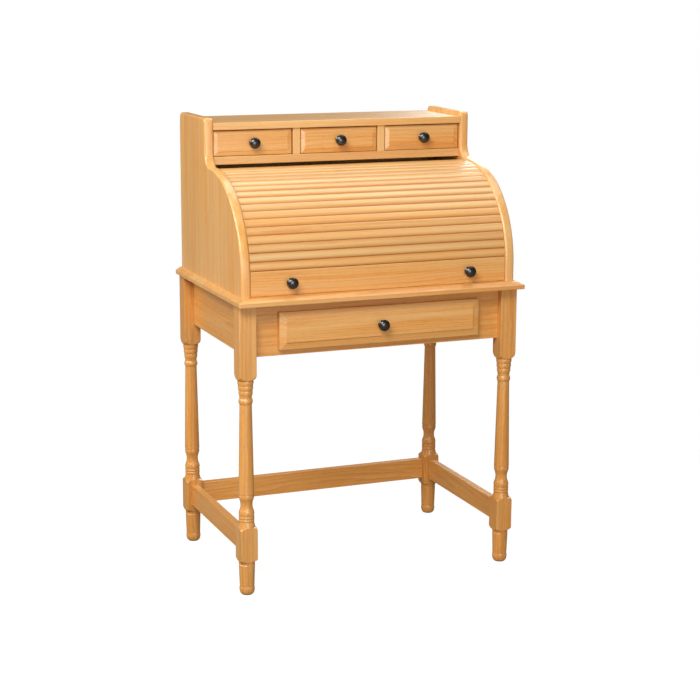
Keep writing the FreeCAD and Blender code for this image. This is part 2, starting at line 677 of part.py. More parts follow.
def make_gallery():
    """Gallery top, drawer rail, deck and dividers, and the back of the case."""
    reach = f"({PANEL_INNER_X} + housing_depth)"
    top = new_body("gallery_top", (f"-{reach}", GALLERY_FRONT_Y, GALLERY_Z))
    depth = f"{PANEL_BACK_Y} - {GALLERY_FRONT_Y}"
    block(top, ("0", "0", "0"), (f"2 * {reach}", depth, "gallery_top_thickness"))
    ease(top, "gallery_top_round", lambda edge: edge.BoundBox.YMax < 1e-6 and edge.BoundBox.ZLength < 1e-6)
    rail = new_body("drawer_rail", (f"-{reach}", RAIL_FRONT_Y, f"{DECK_Z} - gallery_rail_height"))
    block(rail, ("0", "0", "0"), (f"2 * {reach}", "gallery_rail_depth", "gallery_rail_height"))
    deck_front = f"({RAIL_FRONT_Y} + gallery_rail_depth)"
    deck = new_body("drawer_deck", (f"-{reach}", deck_front, f"{DECK_Z} - deck_thickness"))
    block(deck, ("0", "0", "0"), (f"2 * {reach}", f"{BACK_FACE_Y} - {deck_front}", "deck_thickness"))
    for name, side in SIDES.items():
        x = DIVIDER_X if side > 0 else f"-{DIVIDER_X} - divider_thickness"
        divider = new_body(f"divider_{name}", (x, RAIL_FRONT_Y, DECK_Z))
        block(divider, ("0", "0", "0"), ("divider_thickness", f"{BACK_FACE_Y} - {RAIL_FRONT_Y}",
                                         "small_opening_height"))
    wide = f"({PANEL_INNER_X} + back_rebate)"
    back = new_body("case_back", (f"-{wide}", BACK_FACE_Y, "top_height"))
    block(back, ("0", "0", "0"), (f"2 * {wide}", "back_thickness", f"{GALLERY_Z} - top_height"))


def make_tambour():
    """The slats, side by side along the track, with tongues at their ends, and the canvas behind them."""
    slats = new_body("tambour_slats", ("0", TRACK_Y, TRACK_Z), tilt=90)
    bind(slats, **{"Placement.Rotation.Angle": f"90 deg - {FIRST_SLAT} * 1 deg"})
    half = f"{SLAT_WIDTH} / 2"
    shoulder = f"({SLAT_FACE} - slat_crown)"
    face = [
        (f"-{half}", SLAT_BACK, "0"),
        (half, SLAT_BACK, "0"),
        (half, shoulder, "-slat_crown"),
        (f"-{half}", shoulder, "0"),
    ]
    tongue_top = f"({SLAT_BACK} + tongue_thickness)"
    tongue = [(f"-{half}", SLAT_BACK, "0"), (half, SLAT_BACK, "0"),
              (half, tongue_top, "0"), (f"-{half}", tongue_top, "0")]
    bodies = pad(slats, face, f"2 * ({PANEL_INNER_X} - tambour_side_gap)", sides="Symmetric")
    tongues = pad(slats, tongue, f"2 * ({PANEL_INNER_X} + tongue_length)", sides="Symmetric")
    doc.recompute()
    row = slats.newObject("PartDesign::PolarPattern", "Row")
    row.Originals = [bodies, tongues]
    row.Axis = ([item for item in slats.Origin.OriginFeatures if item.Role == "X_Axis"][0], [""])
    row.Reversed = True
    bind(row, Angle="slat_angle * (slat_count - 1)", Occurrences="slat_count")
    slats.Tip = row
    canvas = new_body("tambour_canvas", ("0", TRACK_Y, TRACK_Z))
    pad(canvas, sector(f"({SLAT_BACK} - canvas_thickness)", SLAT_BACK, "-slat_angle / 2", TAIL),
        f"2 * ({PANEL_INNER_X} - canvas_side_margin)", sides="Symmetric")


def make_lift_rail():
    """The flat rail at the tambour's lower edge, with curved tongues that run in the tracks."""
    rail = new_body("lift_rail", ("0", TRACK_Y, TRACK_Z))
    half = f"({PANEL_INNER_X} - tambour_side_gap)"
    block(rail, (f"-{half}", f"-{SLAT_FACE}", LIFT_RAIL_FOOT),
          (f"2 * {half}", "lift_rail_thickness", "lift_rail_height"))
    ease(rail)
    middle = f"(asin({LIFT_RAIL_MIDDLE} / {SLAT_FACE}) / 1 deg)"
    spread = f"(asin((lift_rail_height / 2 - tongue_relief) / {SLAT_FACE}) / 1 deg)"
    outline = sector(SLAT_BACK, f"({SLAT_BACK} + tongue_thickness)",
                     f"({middle} - {spread})", f"({middle} + {spread})")
    pad(rail, outline, f"2 * ({PANEL_INNER_X} + tongue_length)", sides="Symmetric")
    head_seat = "(lift_rail_thickness - screw_head_height)"
    for side in SIDES.values():
        x = f"{side} * {LIFT_KNOB_X}"
        rod(rail, (x, f"-{SLAT_FACE}", LIFT_RAIL_MIDDLE), "screw_radius + screw_fit",
            "lift_rail_thickness", tilt=-90, kind="Subtractive")
        rod(rail, (x, f"{head_seat} - {SLAT_FACE}", LIFT_RAIL_MIDDLE), "screw_head_radius + screw_fit",
            "lift_rail_thickness", tilt=-90, kind="Subtractive")
    rail_face = (f"{TRACK_Y} - {SLAT_FACE}", f"{TRACK_Z} + {LIFT_RAIL_MIDDLE}")
    screws = new_body("lift_knob_screws", ("0", *rail_face))
    for name, side in SIDES.items():
        x = f"{side} * {LIFT_KNOB_X}"
        make_knob(f"lift_knob_{name}", (x, *rail_face))
        add_knob_screw(screws, x, head_seat)


def make_knob(label, at):
    """A turned mushroom knob on a small foot, standing out towards -Y from the place given."""
    body = new_body(label, at, tilt=90)
    rim = "(knob_radius - knob_rim_round)"
    shoulder = "(knob_rim_height + knob_rim_width)"
    rise = f"(knob_height - {shoulder})"
    ball = f"(({rim}^2 + {rise}^2) / (2 * {rise}))"
    dome = f"({ball} * (1 - cos(asin({rim} / {ball}) / 2)))"
    turn(body, [
        ("0", "0", "0"),
        ("knob_base_radius", "0", "0"),
        ("knob_base_radius", "knob_base_height", "knob_neck_hollow"),
        ("knob_neck_radius", "knob_neck_height", "knob_neck_hollow"),
        (rim, "knob_rim_height", "-knob_rim_round"),
        (rim, shoulder, f"-{dome}"),
        ("0", "knob_height", "0"),
    ])
    rod(body, ("0", "0", "0"), "screw_radius + screw_fit", "screw_bite", kind="Subtractive")


def add_knob_screw(body, x, wood):
    """Add a screw from behind, through the wood, into the knob; local -Y is the knob's side."""
    rod(body, (x, wood, "0"), "screw_radius", f"{wood} + screw_bite", tilt=90)
    rod(body, (x, f"{wood} + screw_head_height", "0"), "screw_head_radius", "screw_head_height", tilt=90)


def drawer_front(label, at, width, height, thickness, bevel, depth):
    """A drawer front, seen from -Y, with a raised field, and a hole for the knob's screw at its middle."""
    body = new_body(label, at)
    low = (f"-{width} / 2", "0")
    high = (f"{width} / 2", height)
    bevel_block(body, low, high, bevel, depth)
    block(body, (low[0], depth, "0"), (width, f"{thickness} - {depth}", height))
    rod(body, ("0", "0", f"{height} / 2"), "screw_radius + screw_fit", thickness, tilt=-90,
        kind="Subtractive")


def add_drawer_side(body, side, width, depth, height, wall):
    """Add one side of a drawer, with the groove that its bottom slides into."""
    start = f"{width} / 2 - {wall}" if side > 0 else f"-{width} / 2"
    block(body, (start, "0", "0"), (wall, depth, height))
    inner = start if side > 0 else f"-{width} / 2 + {wall} - drawer_groove_depth"
    block(body, (inner, "0", "drawer_bottom_lift"),
          ("drawer_groove_depth", depth, "(drawer_bottom_thickness + joint_fit)"), "Subtractive")


def drawer_back_and_bottom(label, at, width, depth, height, wall):
    """Back and bottom of a drawer; the place is the middle of the box's front, at its foot."""
    groove = "(drawer_bottom_thickness + joint_fit)"
    back = new_body(f"{label}_back", at)
    back_foot = f"(drawer_bottom_lift + {groove})"
    block(back, (f"{wall} - {width} / 2", f"{depth} - {wall}", back_foot),
          (f"{width} - 2 * {wall}", wall, f"{height} - {back_foot}"))
    bottom = new_body(f"{label}_bottom", at)
    half = f"({width} / 2 - {wall} + drawer_groove_depth - joint_fit)"
    block(bottom, (f"-{half}", "0", "drawer_bottom_lift"),
          (f"2 * {half}", depth, "drawer_bottom_thickness"))


def make_small_drawer(name, step):
    """One drawer of the gallery, with an inset front."""
    label = f"small_drawer_{name}"
    x = f"{step} * ({SMALL_OPENING} + divider_thickness)"
    width = f"({SMALL_OPENING} - 2 * small_gap)"
    height = "(small_opening_height - small_gap - rest_gap)"
    foot = f"{DECK_Z} + rest_gap"
    drawer_front(f"{label}_front", (x, RAIL_FRONT_Y, foot), width, height, "small_front_thickness",
                 "small_bevel_width", "small_bevel_depth")
    inside = f"{RAIL_FRONT_Y} + small_front_thickness"
    length = f"({BACK_FACE_Y} - small_drawer_back_room - {RAIL_FRONT_Y} - small_front_thickness)"
    box = (width, length, height, "small_side_thickness")
    sides = new_body(f"{label}_sides", (x, inside, foot))
    for side in SIDES.values():
        add_drawer_side(sides, side, *box)
    drawer_back_and_bottom(label, (x, inside, foot), *box)
    knob_place = (x, RAIL_FRONT_Y, f"{foot} + {height} / 2")
    make_knob(f"{label}_knob", knob_place)
    screw = new_body(f"{label}_knob_screw", knob_place)
    add_knob_screw(screw, "0", "small_front_thickness")


def make_main_drawer():
    """The drawer under the board: a box with an overlaid front that laps over its opening."""
    front_y = f"({APRON_FACE_Y} - rest_gap - main_front_thickness)"
    drawer_front("main_drawer_front", ("0", front_y, MAIN_FRONT_BOTTOM), MAIN_FRONT_WIDTH,
                 "main_front_height", "main_front_thickness", "main_bevel_width", "main_bevel_depth")
    width = f"(2 * {MAIN_OPENING_X} - 2 * main_side_play)"
    height = f"({MAIN_OPENING_HEIGHT} - rest_gap - main_side_play)"
    at = ("0", f"{APRON_FACE_Y} - rest_gap", f"{MAIN_OPENING_BOTTOM} + rest_gap")
    box = (width, MAIN_LENGTH, height, "main_side_thickness")
    for name, side in SIDES.items():
        add_drawer_side(new_body(f"main_drawer_side_{name}", at), side, *box)
    drawer_back_and_bottom("main_drawer", at, *box)
    inner = new_body("main_drawer_inner_front", at)
    clear = f"({width} - 2 * main_side_thickness)"
    above = "(drawer_bottom_lift + drawer_bottom_thickness + joint_fit)"
    block(inner, (f"-{clear} / 2", "0", above), (clear, "main_side_thickness", f"{height} - {above}"))
    centre = f"({MAIN_FRONT_BOTTOM} + main_front_height / 2)"
    rod(inner, ("0", "0", f"{centre} - {MAIN_OPENING_BOTTOM} - rest_gap"), "screw_radius + screw_fit",
        "main_side_thickness", tilt=-90, kind="Subtractive")
    make_knob("main_drawer_knob", ("0", front_y, centre))
    screw = new_body("main_drawer_knob_screw", ("0", front_y, centre))
    add_knob_screw(screw, "0", "(main_front_thickness + main_side_thickness)")


def make_runners():
    """Runners that carry the main drawer and guide its sides, and kickers that keep it level when out."""
    length = f"{APRON_BACK_INSIDE} - {APRON_FRONT_INSIDE}"
    for name, side in SIDES.items():
        runner = new_body(f"drawer_runner_{name}", ("0", APRON_FRONT_INSIDE, MAIN_OPENING_BOTTOM))
        outer = "(runner_width + guide_thickness)"
        x = f"{MAIN_OPENING_X} - runner_width" if side > 0 else f"-{MAIN_OPENING_X} - guide_thickness"
        block(runner, (x, "0", "-runner_height"), (outer, length, "runner_height"))
        x = MAIN_OPENING_X if side > 0 else f"-{MAIN_OPENING_X} - guide_thickness"
        block(runner, (x, "0", "0"), ("guide_thickness", length, "guide_height"))
    level = f"({MAIN_OPENING_BOTTOM} + {MAIN_OPENING_HEIGHT})"
    kickers = new_body("drawer_kickers", ("0", APRON_FRONT_INSIDE, level))
    head = f"({TOP_UNDERSIDE} - {level})"
    for side in SIDES.values():
        x = f"{MAIN_OPENING_X} - runner_width" if side > 0 else f"-{MAIN_OPENING_X}"
        block(kickers, (x, "0", "0"), ("runner_width", length, head))


def build():
    """Make every sub-part."""
    fill_sheet()
    make_desk_top()
    for name, side in SIDES.items():
        make_leg(f"leg_front_{name}", side, -1)
        make_leg(f"leg_back_{name}", side, 1)
        make_side_panel(name, side)
    make_aprons()
    make_stretchers()
    make_glides()
    make_corner_blocks()
    make_panel_screws()
    make_gallery()
    make_tambour()
    make_lift_rail()
    for step, name in enumerate(("left", "middle", "right"), start=-1):
        make_small_drawer(name, step)
    make_main_drawer()
    make_runners()
    doc.recompute()


def check():
    """Stop if any object failed or any sub-part has no sound shape."""
    for item in doc.Objects:
        if "Invalid" in item.State or "Error" in item.State:
            raise RuntimeError(f"{item.Label} failed: {item.State}")
    for body in pieces:
        if body.Shape.isNull() or not body.Shape.isValid() or not body.Shape.Solids:
            raise RuntimeError(f"{body.Label} has no sound shape")


def export():
    """Write one file per sub-part."""
    os.makedirs("parts", exist_ok=True)
    for body in pieces:
        body.Shape.exportStep(f"parts/{body.Label}.step")


build()
check()
export()
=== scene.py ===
import json
import math
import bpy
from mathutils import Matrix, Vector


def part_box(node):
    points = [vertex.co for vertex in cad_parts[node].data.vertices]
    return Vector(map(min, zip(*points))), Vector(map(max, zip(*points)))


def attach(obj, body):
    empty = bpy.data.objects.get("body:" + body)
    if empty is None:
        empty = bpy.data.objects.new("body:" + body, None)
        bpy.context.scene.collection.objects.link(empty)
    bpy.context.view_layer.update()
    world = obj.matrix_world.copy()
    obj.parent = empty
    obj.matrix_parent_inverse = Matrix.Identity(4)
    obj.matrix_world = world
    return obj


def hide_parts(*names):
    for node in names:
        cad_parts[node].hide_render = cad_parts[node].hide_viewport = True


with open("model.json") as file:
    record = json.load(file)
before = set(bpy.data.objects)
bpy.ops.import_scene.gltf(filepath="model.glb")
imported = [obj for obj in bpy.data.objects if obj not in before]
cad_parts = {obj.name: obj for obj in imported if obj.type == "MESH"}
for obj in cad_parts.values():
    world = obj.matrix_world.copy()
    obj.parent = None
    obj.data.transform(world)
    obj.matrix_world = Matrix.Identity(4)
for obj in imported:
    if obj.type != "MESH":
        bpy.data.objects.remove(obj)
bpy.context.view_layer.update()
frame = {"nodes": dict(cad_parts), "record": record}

import zlib

import bmesh
import bpy
import numpy as np
from mathutils import Matrix, Vector

bl_info = {
    "name": "Roll-top desk",
    "version": (1, 0, 0),
    "blender": (4, 5, 0),
    "location": "View3D > Sidebar > Roll-top desk",
    "description": "Dresses the roll-top desk in oak, with turned legs, a tambour and dark knobs",
    "category": "Object",
}

NODES = frame["nodes"]
BODY_OF = {node: body for body, nodes in frame["record"]["behaviour"]["bodies"].items() for node in nodes}
GRAIN = "grain"
# the tone attribute holds at each point how pale the oak is (its own tone and painted sheen), how bright
# (painted light and shade), and how dark towards a slat's joints (painted shade)
TONE = "tone"
FINISH_NAME = "desk_"
SHARP = math.radians(32)
MERGE = 2e-6
STRAIGHT = 1e-9
QUARTER = math.pi / 2
WHITE = (1.0, 1.0, 1.0)
X, Y, Z = 0, 1, 2
LEGS = ("front_left", "front_right", "back_left", "back_right")
PANELS = ("side_panel_left", "side_panel_right")
SMALL = ("left", "middle", "right")


# Properties

def length(label, words, value):
    return bpy.props.FloatProperty(name=label, description=words, default=value, min=0.0, precision=5,
                                   unit="LENGTH")


def tint(label, words, value):
    return bpy.props.FloatVectorProperty(name=label, description=words, default=value, min=0.0, max=1.0,
                                         size=3, subtype="COLOR")


def plain(label, words, value):
    return bpy.props.FloatProperty(name=label, description=words, default=value, min=0.0)


def slant(label, words, value):
    return bpy.props.FloatProperty(name=label, description=words, default=value, subtype="ANGLE")


class DeskSizes(bpy.types.PropertyGroup):
    """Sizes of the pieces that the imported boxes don't give."""
    edge_ease: length("Edge ease", "Rounding of the edges of rails, legs and boards", 0.0014)
    seam_ease: length("Seam ease", "Rounding of the edges that meet in a joint", 0.0004)
    board_bevel: length("Board bevel", "Width of the bevel round the writing board", 0.015)
    board_drop: length("Board bevel drop", "How far that bevel falls", 0.008)
    main_bevel: length("Drawer bevel", "Width of the bevel on the main drawer's front", 0.018)
    main_drop: length("Drawer bevel drop", "How far that bevel falls", 0.006)
    main_step: length("Field step", "Height of the step round the main drawer's raised field", 0.0022)
    main_lip: length("Drawer lip", "How far the main drawer's front overlaps its opening", 0.009)
    small_bevel: length("Small drawer bevel", "Width of the bevel on a small drawer's front", 0.011)
    small_drop: length("Small drawer bevel drop", "How far that bevel falls", 0.004)
    small_step: length("Small field step", "Height of the step round its raised field", 0.0014)
    small_clear: length("Small drawer clearance", "Taken off a small drawer front all round", 0.0006)
    small_wall: length("Small drawer wall", "Thickness of a small drawer's sides", 0.010)
    leg_side: length("Leg side", "Width of a leg's square blocks", 0.0445)
    pad_radius: length("Pad radius", "Radius of the pads under the feet", 0.014)
    pad_height: length("Pad height", "Height of those pads", 0.003)
    roll_height: length("Roll height", "Height of the axis that the tambour rolls about", 0.803)
    roll_depth: length("Roll depth", "Y of the axis that the tambour rolls about", 0.012)
    panel_radius: length("Panel radius", "Radius of a side panel's front curve", 0.250)
    panel_ogee: length("Panel ogee", "Radius of the hollow above that curve", 0.036)
    panel_corner: length("Panel corner", "Radius of a side panel's upper corners", 0.012)
    panel_round: length("Panel round", "Rounding of a side panel's edges", 0.005)
    track_outer: length("Track, outer", "Outer radius of the track for the slats", 0.2416)
    track_inner: length("Track, inner", "Inner radius of the track for the slats", 0.2334)
    track_depth: length("Track depth", "How deep the track is cut", 0.010)
    slat_back: length("Slat back", "Radius of the slats' backs", 0.234)
    slat_shoulder: length("Slat shoulder", "Radius of the slats' shoulders", 0.2436)
    slat_crown: length("Slat crown", "How far a slat's face is rounded", 0.0024)
    slat_width: length("Slat width", "Width of a slat's back", 0.02079)
    slat_face: length("Slat face", "Width of a slat at its shoulders", 0.0214)
    slat_reach: length("Slat reach", "Half the length of a slat's face", 0.3452)
    tongue_reach: length("Tongue reach", "Half the length of a slat with its tongues", 0.355)
    tongue_face: length("Tongue face", "Outer radius of the tongues at the slats' ends", 0.241)
    rail_thickness: length("Lift rail thickness", "Thickness of the lift rail", 0.012)
    canvas_thickness: length("Canvas thickness", "Thickness of the cloth behind the slats", 0.0008)
    plank_width: length("Plank width", "Width of the boards that a wide panel is glued from", 0.118)


class DeskColours(bpy.types.PropertyGroup):
    """Colours of the finishes."""
    oak_light: tint("Oak, light", "Oak between the rings", (0.815, 0.412, 0.118))
    oak_warm: tint("Oak, warm", "Oak in the warmer streaks", (0.755, 0.330, 0.060))
    # also the colour of the painted shade along the slats' joints
    oak_ring: tint("Oak, ring", "Dense wood at the end of each ring", (0.580, 0.205, 0.032))
    oak_pore: tint("Oak, pore", "Open pores", (0.380, 0.130, 0.025))
    # partly the paler wood of some pieces, partly painted sheen on the upper pieces
    oak_pale_and_sheen: tint("Oak, pale", "Oak of the paler pieces", (0.810, 0.565, 0.255))
    inner_wood: tint("Inner wood", "Pale wood of drawer sides and blocks", (0.730, 0.500, 0.270))
    inner_streak: tint("Inner wood, streak", "Streaks in that wood", (0.600, 0.370, 0.170))
    bronze: tint("Bronze", "Dark rubbed metal of the knobs", (0.004, 0.0035, 0.0035))
    bronze_worn: tint("Bronze, worn", "Knobs where the dark coat is thin", (0.014, 0.009, 0.007))
    steel: tint("Steel", "Screws", (0.560, 0.560, 0.540))
    canvas: tint("Canvas", "Cloth behind the slats", (0.520, 0.440, 0.310))
    glide: tint("Glide", "Plastic under the feet", (0.030, 0.022, 0.018))
    floor_near: tint("Floor, near", "Floor that takes the desk's shadow", (0.16, 0.16, 0.16))
    floor_bounce: tint("Floor, bounce", "Floor as light bounces off it", (0.30, 0.235, 0.155))
    sky: tint("Sky colour", "Even light from all round", (1.0, 0.86, 0.68))


class DeskStudio(bpy.types.PropertyGroup):
    """Light and camera."""
    key: plain("Key light", "Power of the lamp at the upper left in front, in watts", 106.0)
    fill: plain("Fill light", "Power of the low lamp in front, in watts", 38.0)
    top: plain("Top light", "Power of the lamp above, in watts", 24.0)
    side: plain("Side light", "Power of the lamp at the left, in watts", 60.0)
    back: plain("Back light", "Power of the lamp behind at the right, in watts", 46.0)
    sky: plain("Sky", "Strength of the even light from all round", 0.15)
    lens: plain("Lens", "Focal length in millimetres", 90.245)
    yaw: slant("Yaw", "Turn of the camera from straight ahead", 0.38602)
    pitch: slant("Pitch", "How far the camera looks down", 0.21088)
    roll: slant("Roll", "Tilt of the camera", 0.00486)
    place: bpy.props.FloatVectorProperty(name="Place", description="Where the camera stands",
                                         default=(-1.69944, -4.21803, 1.54043), subtype="TRANSLATION")
    shift: bpy.props.FloatVectorProperty(name="Shift", description="Where the photograph's own centre lies",
                                         default=(-0.00186, -0.00477), size=2)


def sizes():
    return bpy.context.scene.desk_sizes


def colours():
    return bpy.context.scene.desk_colours


def studio():
    return bpy.context.scene.desk_studio


# Solids

class Solid:
    """Points, the quads between them, flat faces of more corners, and the grain and tone at each point; the
    tone carries painted light and shade as well.
    """

    def __init__(self, points, quads, caps=()):
        self.points = np.asarray(points, float).reshape(-1, 3)
        self.quads = np.asarray(quads, int).reshape(-1, 4)
        self.caps = [np.asarray(cap, int) for cap in caps]
        self.grain = np.zeros_like(self.points)
        self.tone = np.zeros_like(self.points)


def joined(solids):
    """One solid of several: points in a row, faces numbered on."""
    starts = np.cumsum([0] + [len(solid.points) for solid in solids])[:-1]
    whole = Solid(
        np.concatenate([solid.points for solid in solids]),
        np.concatenate([solid.quads + start for solid, start in zip(solids, starts)]),
        [cap + start for solid, start in zip(solids, starts) for cap in solid.caps],
    )
    whole.grain = np.concatenate([solid.grain for solid in solids])
    whole.tone = np.concatenate([solid.tone for solid in solids])
    return whole


def grid_quads(rows, columns, closed=True):
    """Quads between neighbours on a grid of points; closed joins the last column to the first."""
    row = np.arange(rows - 1)[:, None] * columns
    column = np.arange(columns if closed else columns - 1)[None, :]
    after = (column + 1) % columns
    corners = (row + column, row + after, row + columns + after, row + columns + column)
    return np.stack(np.broadcast_arrays(*corners), -1).reshape(-1, 4)


def stacked(rings):
    """Solid through a stack of rings with the same number of points, flat at both ends."""
    rings = np.asarray(rings, float)
    rows, columns = rings.shape[:2]
    first = np.arange(columns)
    return Solid(rings, grid_quads(rows, columns), [first[::-1], first + (rows - 1) * columns])


def arc(start, end, rise, count):
    """Circular arc between two points in a plane, standing out by rise to the left of its chord."""
    start, end = np.asarray(start, float), np.asarray(end, float)
    chord = end - start
    size = math.hypot(*chord)
    if abs(rise) < STRAIGHT:
        return start + np.linspace(0, 1, count)[:, None] * chord
    along = chord / size
    out = np.array([-along[1], along[0]])
    half = 2 * math.atan(2 * rise / size)
    radius = size / (2 * math.sin(half))
    turn = half * np.linspace(-1, 1, count)[:, None]
    centre = (start + end) / 2 - out * radius * math.cos(half)
    return centre + radius * (out * np.cos(turn) + along * np.sin(turn))


def softened(corners, reach, steps=3):
    """Closed outline whose corners are rounded: from reach before a corner to reach after it runs the
    quadratic curve drawn towards the corner, with one more point on the straight at each side."""
    corners = np.asarray(corners, float)
    reach = np.broadcast_to(np.asarray(reach, float), len(corners))[:, None]
    back = np.roll(corners, 1, 0) - corners
    ahead = np.roll(corners, -1, 0) - corners
    back = corners + back / np.linalg.norm(back, axis=1, keepdims=True) * reach
    ahead = corners + ahead / np.linalg.norm(ahead, axis=1, keepdims=True) * reach
    t = np.linspace(0, 1, steps + 1)[None, :, None]
    curve = (1 - t) ** 2 * back[:, None] + 2 * t * (1 - t) * corners[:, None] + t ** 2 * ahead[:, None]
    before = back[:, None] + (back - corners)[:, None]
    after = ahead[:, None] + (ahead - corners)[:, None]
    return np.concatenate([before, curve, after], 1).reshape(-1, 2)


def open_line(corners, reach, limit):
    """A softened line that isn't closed: what lies past the limit is cut off."""
    line = softened(corners, reach)
    return line[line[:, 0] < limit]


def eased_box(low, high, ease, steps=2):
    """Box with rounded edges. Each point of a grid on the box is drawn to the nearest point of the inner
    box, which is smaller by the ease all round, and set out from there by the ease."""
    low, high = np.asarray(low, float), np.asarray(high, float)
    half, centre = (high - low) / 2, (high + low) / 2
    ease = min(ease, half.min() / 3)
    bend = ease * np.tan(np.linspace(0, math.pi / 4, steps + 1))
    ends = [np.concatenate([[size - 2 * ease], size - ease + bend]) for size in half]
    marks = [np.concatenate([-end[::-1], end]) for end in ends]
    sides = []
    for axis in range(3):
        one, two = (axis + 1) % 3, (axis + 2) % 3
        first, second = np.meshgrid(marks[one], marks[two], indexing="ij")
        for side in (-1, 1):
            face = np.empty(first.shape + (3,))
            face[..., one], face[..., two], face[..., axis] = first, second, side * half[axis]
            inner = np.clip(face, ease - half, half - ease)
            out = face - inner
            out /= np.linalg.norm(out, axis=-1, keepdims=True)
            sides.append(Solid(centre + inner + ease * out, grid_quads(*first.shape, closed=False)))
    return joined(sides)


def framed_slab(low, high, profile, corner, steps=3, spared=0.0):
    """Slab on a rectangle: for each (inset, height) of the profile, the rectangle drawn in by the inset,
    its corners rounded by one radius, at that height. The upper side is spared so much of the inset, which
    leaves its edge square. Gives rings of (across, up, height)."""
    low, high = np.asarray(low, float), np.asarray(high, float)
    profile = np.asarray(profile, float)
    inset, height = profile[:, :1], profile[:, 1:]
    turn = np.linspace(0, QUARTER, steps + 1)
    angle = np.arange(4)[:, None] * QUARTER + np.concatenate([turn[:1], turn, turn[-1:]])
    slide = np.tile(np.concatenate([[-corner], np.zeros(steps + 1), [corner]]), 4)
    angle = angle.ravel()
    right = np.repeat([1, -1, -1, 1], steps + 3)
    upper = np.repeat([1, 1, -1, -1], steps + 3)
    half = (high - low) / 2 - corner
    across = right * (half[0] - inset) + corner * np.cos(angle) - slide * np.sin(angle)
    drawn = inset - np.where(upper > 0, np.minimum(inset, spared), 0)
    up = upper * (half[1] - drawn) + corner * np.sin(angle) + slide * np.cos(angle)
    middle = (high + low) / 2
    return np.stack([across + middle[0], up + middle[1], np.broadcast_to(height, across.shape)], -1)


def swept(outline, low, high):
    """Solid with an outline in (y, z), carried along X from low to high."""
    outline = np.asarray(outline, float)
    ring = np.stack([np.zeros(len(outline)), outline[:, 0], outline[:, 1]], -1)
    return stacked([ring + (low, 0, 0), ring + (high, 0, 0)])


def lathed(profile, centre, axis, count):
    """Solid of revolution: each (radius, distance) of the profile is carried round the axis given."""
    profile = np.asarray(profile, float)
    turn = np.linspace(0, 2 * math.pi, count, endpoint=False)
    one, two = (axis + 1) % 3, (axis + 2) % 3
    points = np.empty((len(profile), count, 3))
    points[..., one] = profile[:, :1] * np.cos(turn)
    points[..., two] = profile[:, :1] * np.sin(turn)
    points[..., axis] = profile[:, 1:]
    return Solid(points + np.asarray(centre, float), grid_quads(len(profile), count))


# how pale the oak of a piece is and how bright, by the start of its name; the first that fits counts. The
# pale share is partly the piece's own tone and partly painted sheen; the brightness is painted light and
# shade
TONES_AND_PAINTED_LIGHT = {"main_drawer": (0.28, 1.03), "small_drawer": (0.24, 0.97), "side_panel": (0.30, 1.0),
         "divider": (0.50, 1.0), "gallery_top": (0.30, 1.08), "slat": (0.46, 0.96),
         "lift_rail": (0.18, 0.98), "drawer_rail": (0.25, 0.98), "desk_top": (0.34, 1.0),
         "leg_front_left": (0.30, 1.0), "leg_front_right": (0.02, 0.97), "leg_back": (-0.2, 0.96),
         "stretcher_right": (-0.40, 0.95), "stretcher": (-0.28, 1.02), "apron": (-0.1, 0.98)}
PLAIN_TONE = (0.0, 1.0)
OAK_LENGTH, OAK_PLANKS = 9, 400


def grained(solid, along, across, name, glued=False):
    """Give a solid its grain: how far each point lies along the grain, across the face and into the wood,
    each moved to a stretch of oak of its own, chosen by name. A glued panel runs over several planks."""
    place = solid.points[:, [along, across, 3 - along - across]]
    luck = np.random.default_rng(zlib.crc32(name.encode()))
    start, plank, slip = luck.uniform(0, OAK_LENGTH), luck.integers(0, OAK_PLANKS), luck.uniform(-0.5, 0.5)
    offset = (start, (plank + 0.5 + (slip if glued else 0)) * sizes().plank_width, 0)
    solid.grain = place - (place.max(0) + place.min(0)) / 2 + offset
    # each piece's pale share and brightness: partly its own tone, partly painted sheen and painted light and
    # shade
    tones_and_light = [tone for start, tone in TONES_AND_PAINTED_LIGHT.items() if name.startswith(start)]
    solid.tone[:, :2] = tones_and_light[0] if tones_and_light else PLAIN_TONE
    return solid


def add_object(name, data):
    made = bpy.data.objects.new(name, data)
    bpy.context.scene.collection.objects.link(made)
    return made


def add_piece(node, solid, finish):
    """Object from a solid: points that coincide are merged, faces turned outwards and sharp edges kept.
    It rides on its node's body and stands in place of the node, which it hides."""
    name = node + "_finished"
    mesh = bpy.data.meshes.new(name)
    mesh.from_pydata(solid.points.tolist(), [], solid.quads.tolist() + [cap.tolist() for cap in solid.caps])
    for key, values in ((GRAIN, solid.grain), (TONE, solid.tone)):
        mesh.attributes.new(key, "FLOAT_VECTOR", "POINT").data.foreach_set("vector", values.ravel())
    shell = bmesh.new()
    shell.from_mesh(mesh)
    bmesh.ops.remove_doubles(shell, verts=shell.verts, dist=MERGE)
    bmesh.ops.recalc_face_normals(shell, faces=shell.faces)
    shell.to_mesh(mesh)
    shell.free()
    mesh.polygons.foreach_set("use_smooth", np.ones(len(mesh.polygons), bool))
    mesh.set_sharp_from_angle(angle=SHARP)
    mesh.materials.append(finish_of(finish))
    piece = add_object(name, mesh)
    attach(piece, BODY_OF[node])
    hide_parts(node)
    return piece


def add_oak(node, solid, along, across, glued=False):
    add_piece(node, grained(solid, along, across, node, glued), "oak")


def box_of(node):
    low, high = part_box(node)
    return np.array(low), np.array(high)


def between(node, axis, low_node, high_node):
    """A node's box, cut along one axis where its neighbours begin."""
    low, high = box_of(node)
    low[axis] = box_of(low_node)[1][axis]
    high[axis] = box_of(high_node)[0][axis]
    return low, high


# Finishes

def maths(operation, turned=False):
    """Method of a wire that adds a Math node; turned puts the wire second."""
    def method(wire, other):
        values = (other, wire) if turned else (wire, other)
        return wire.recipe.math(operation, *values)
    return method


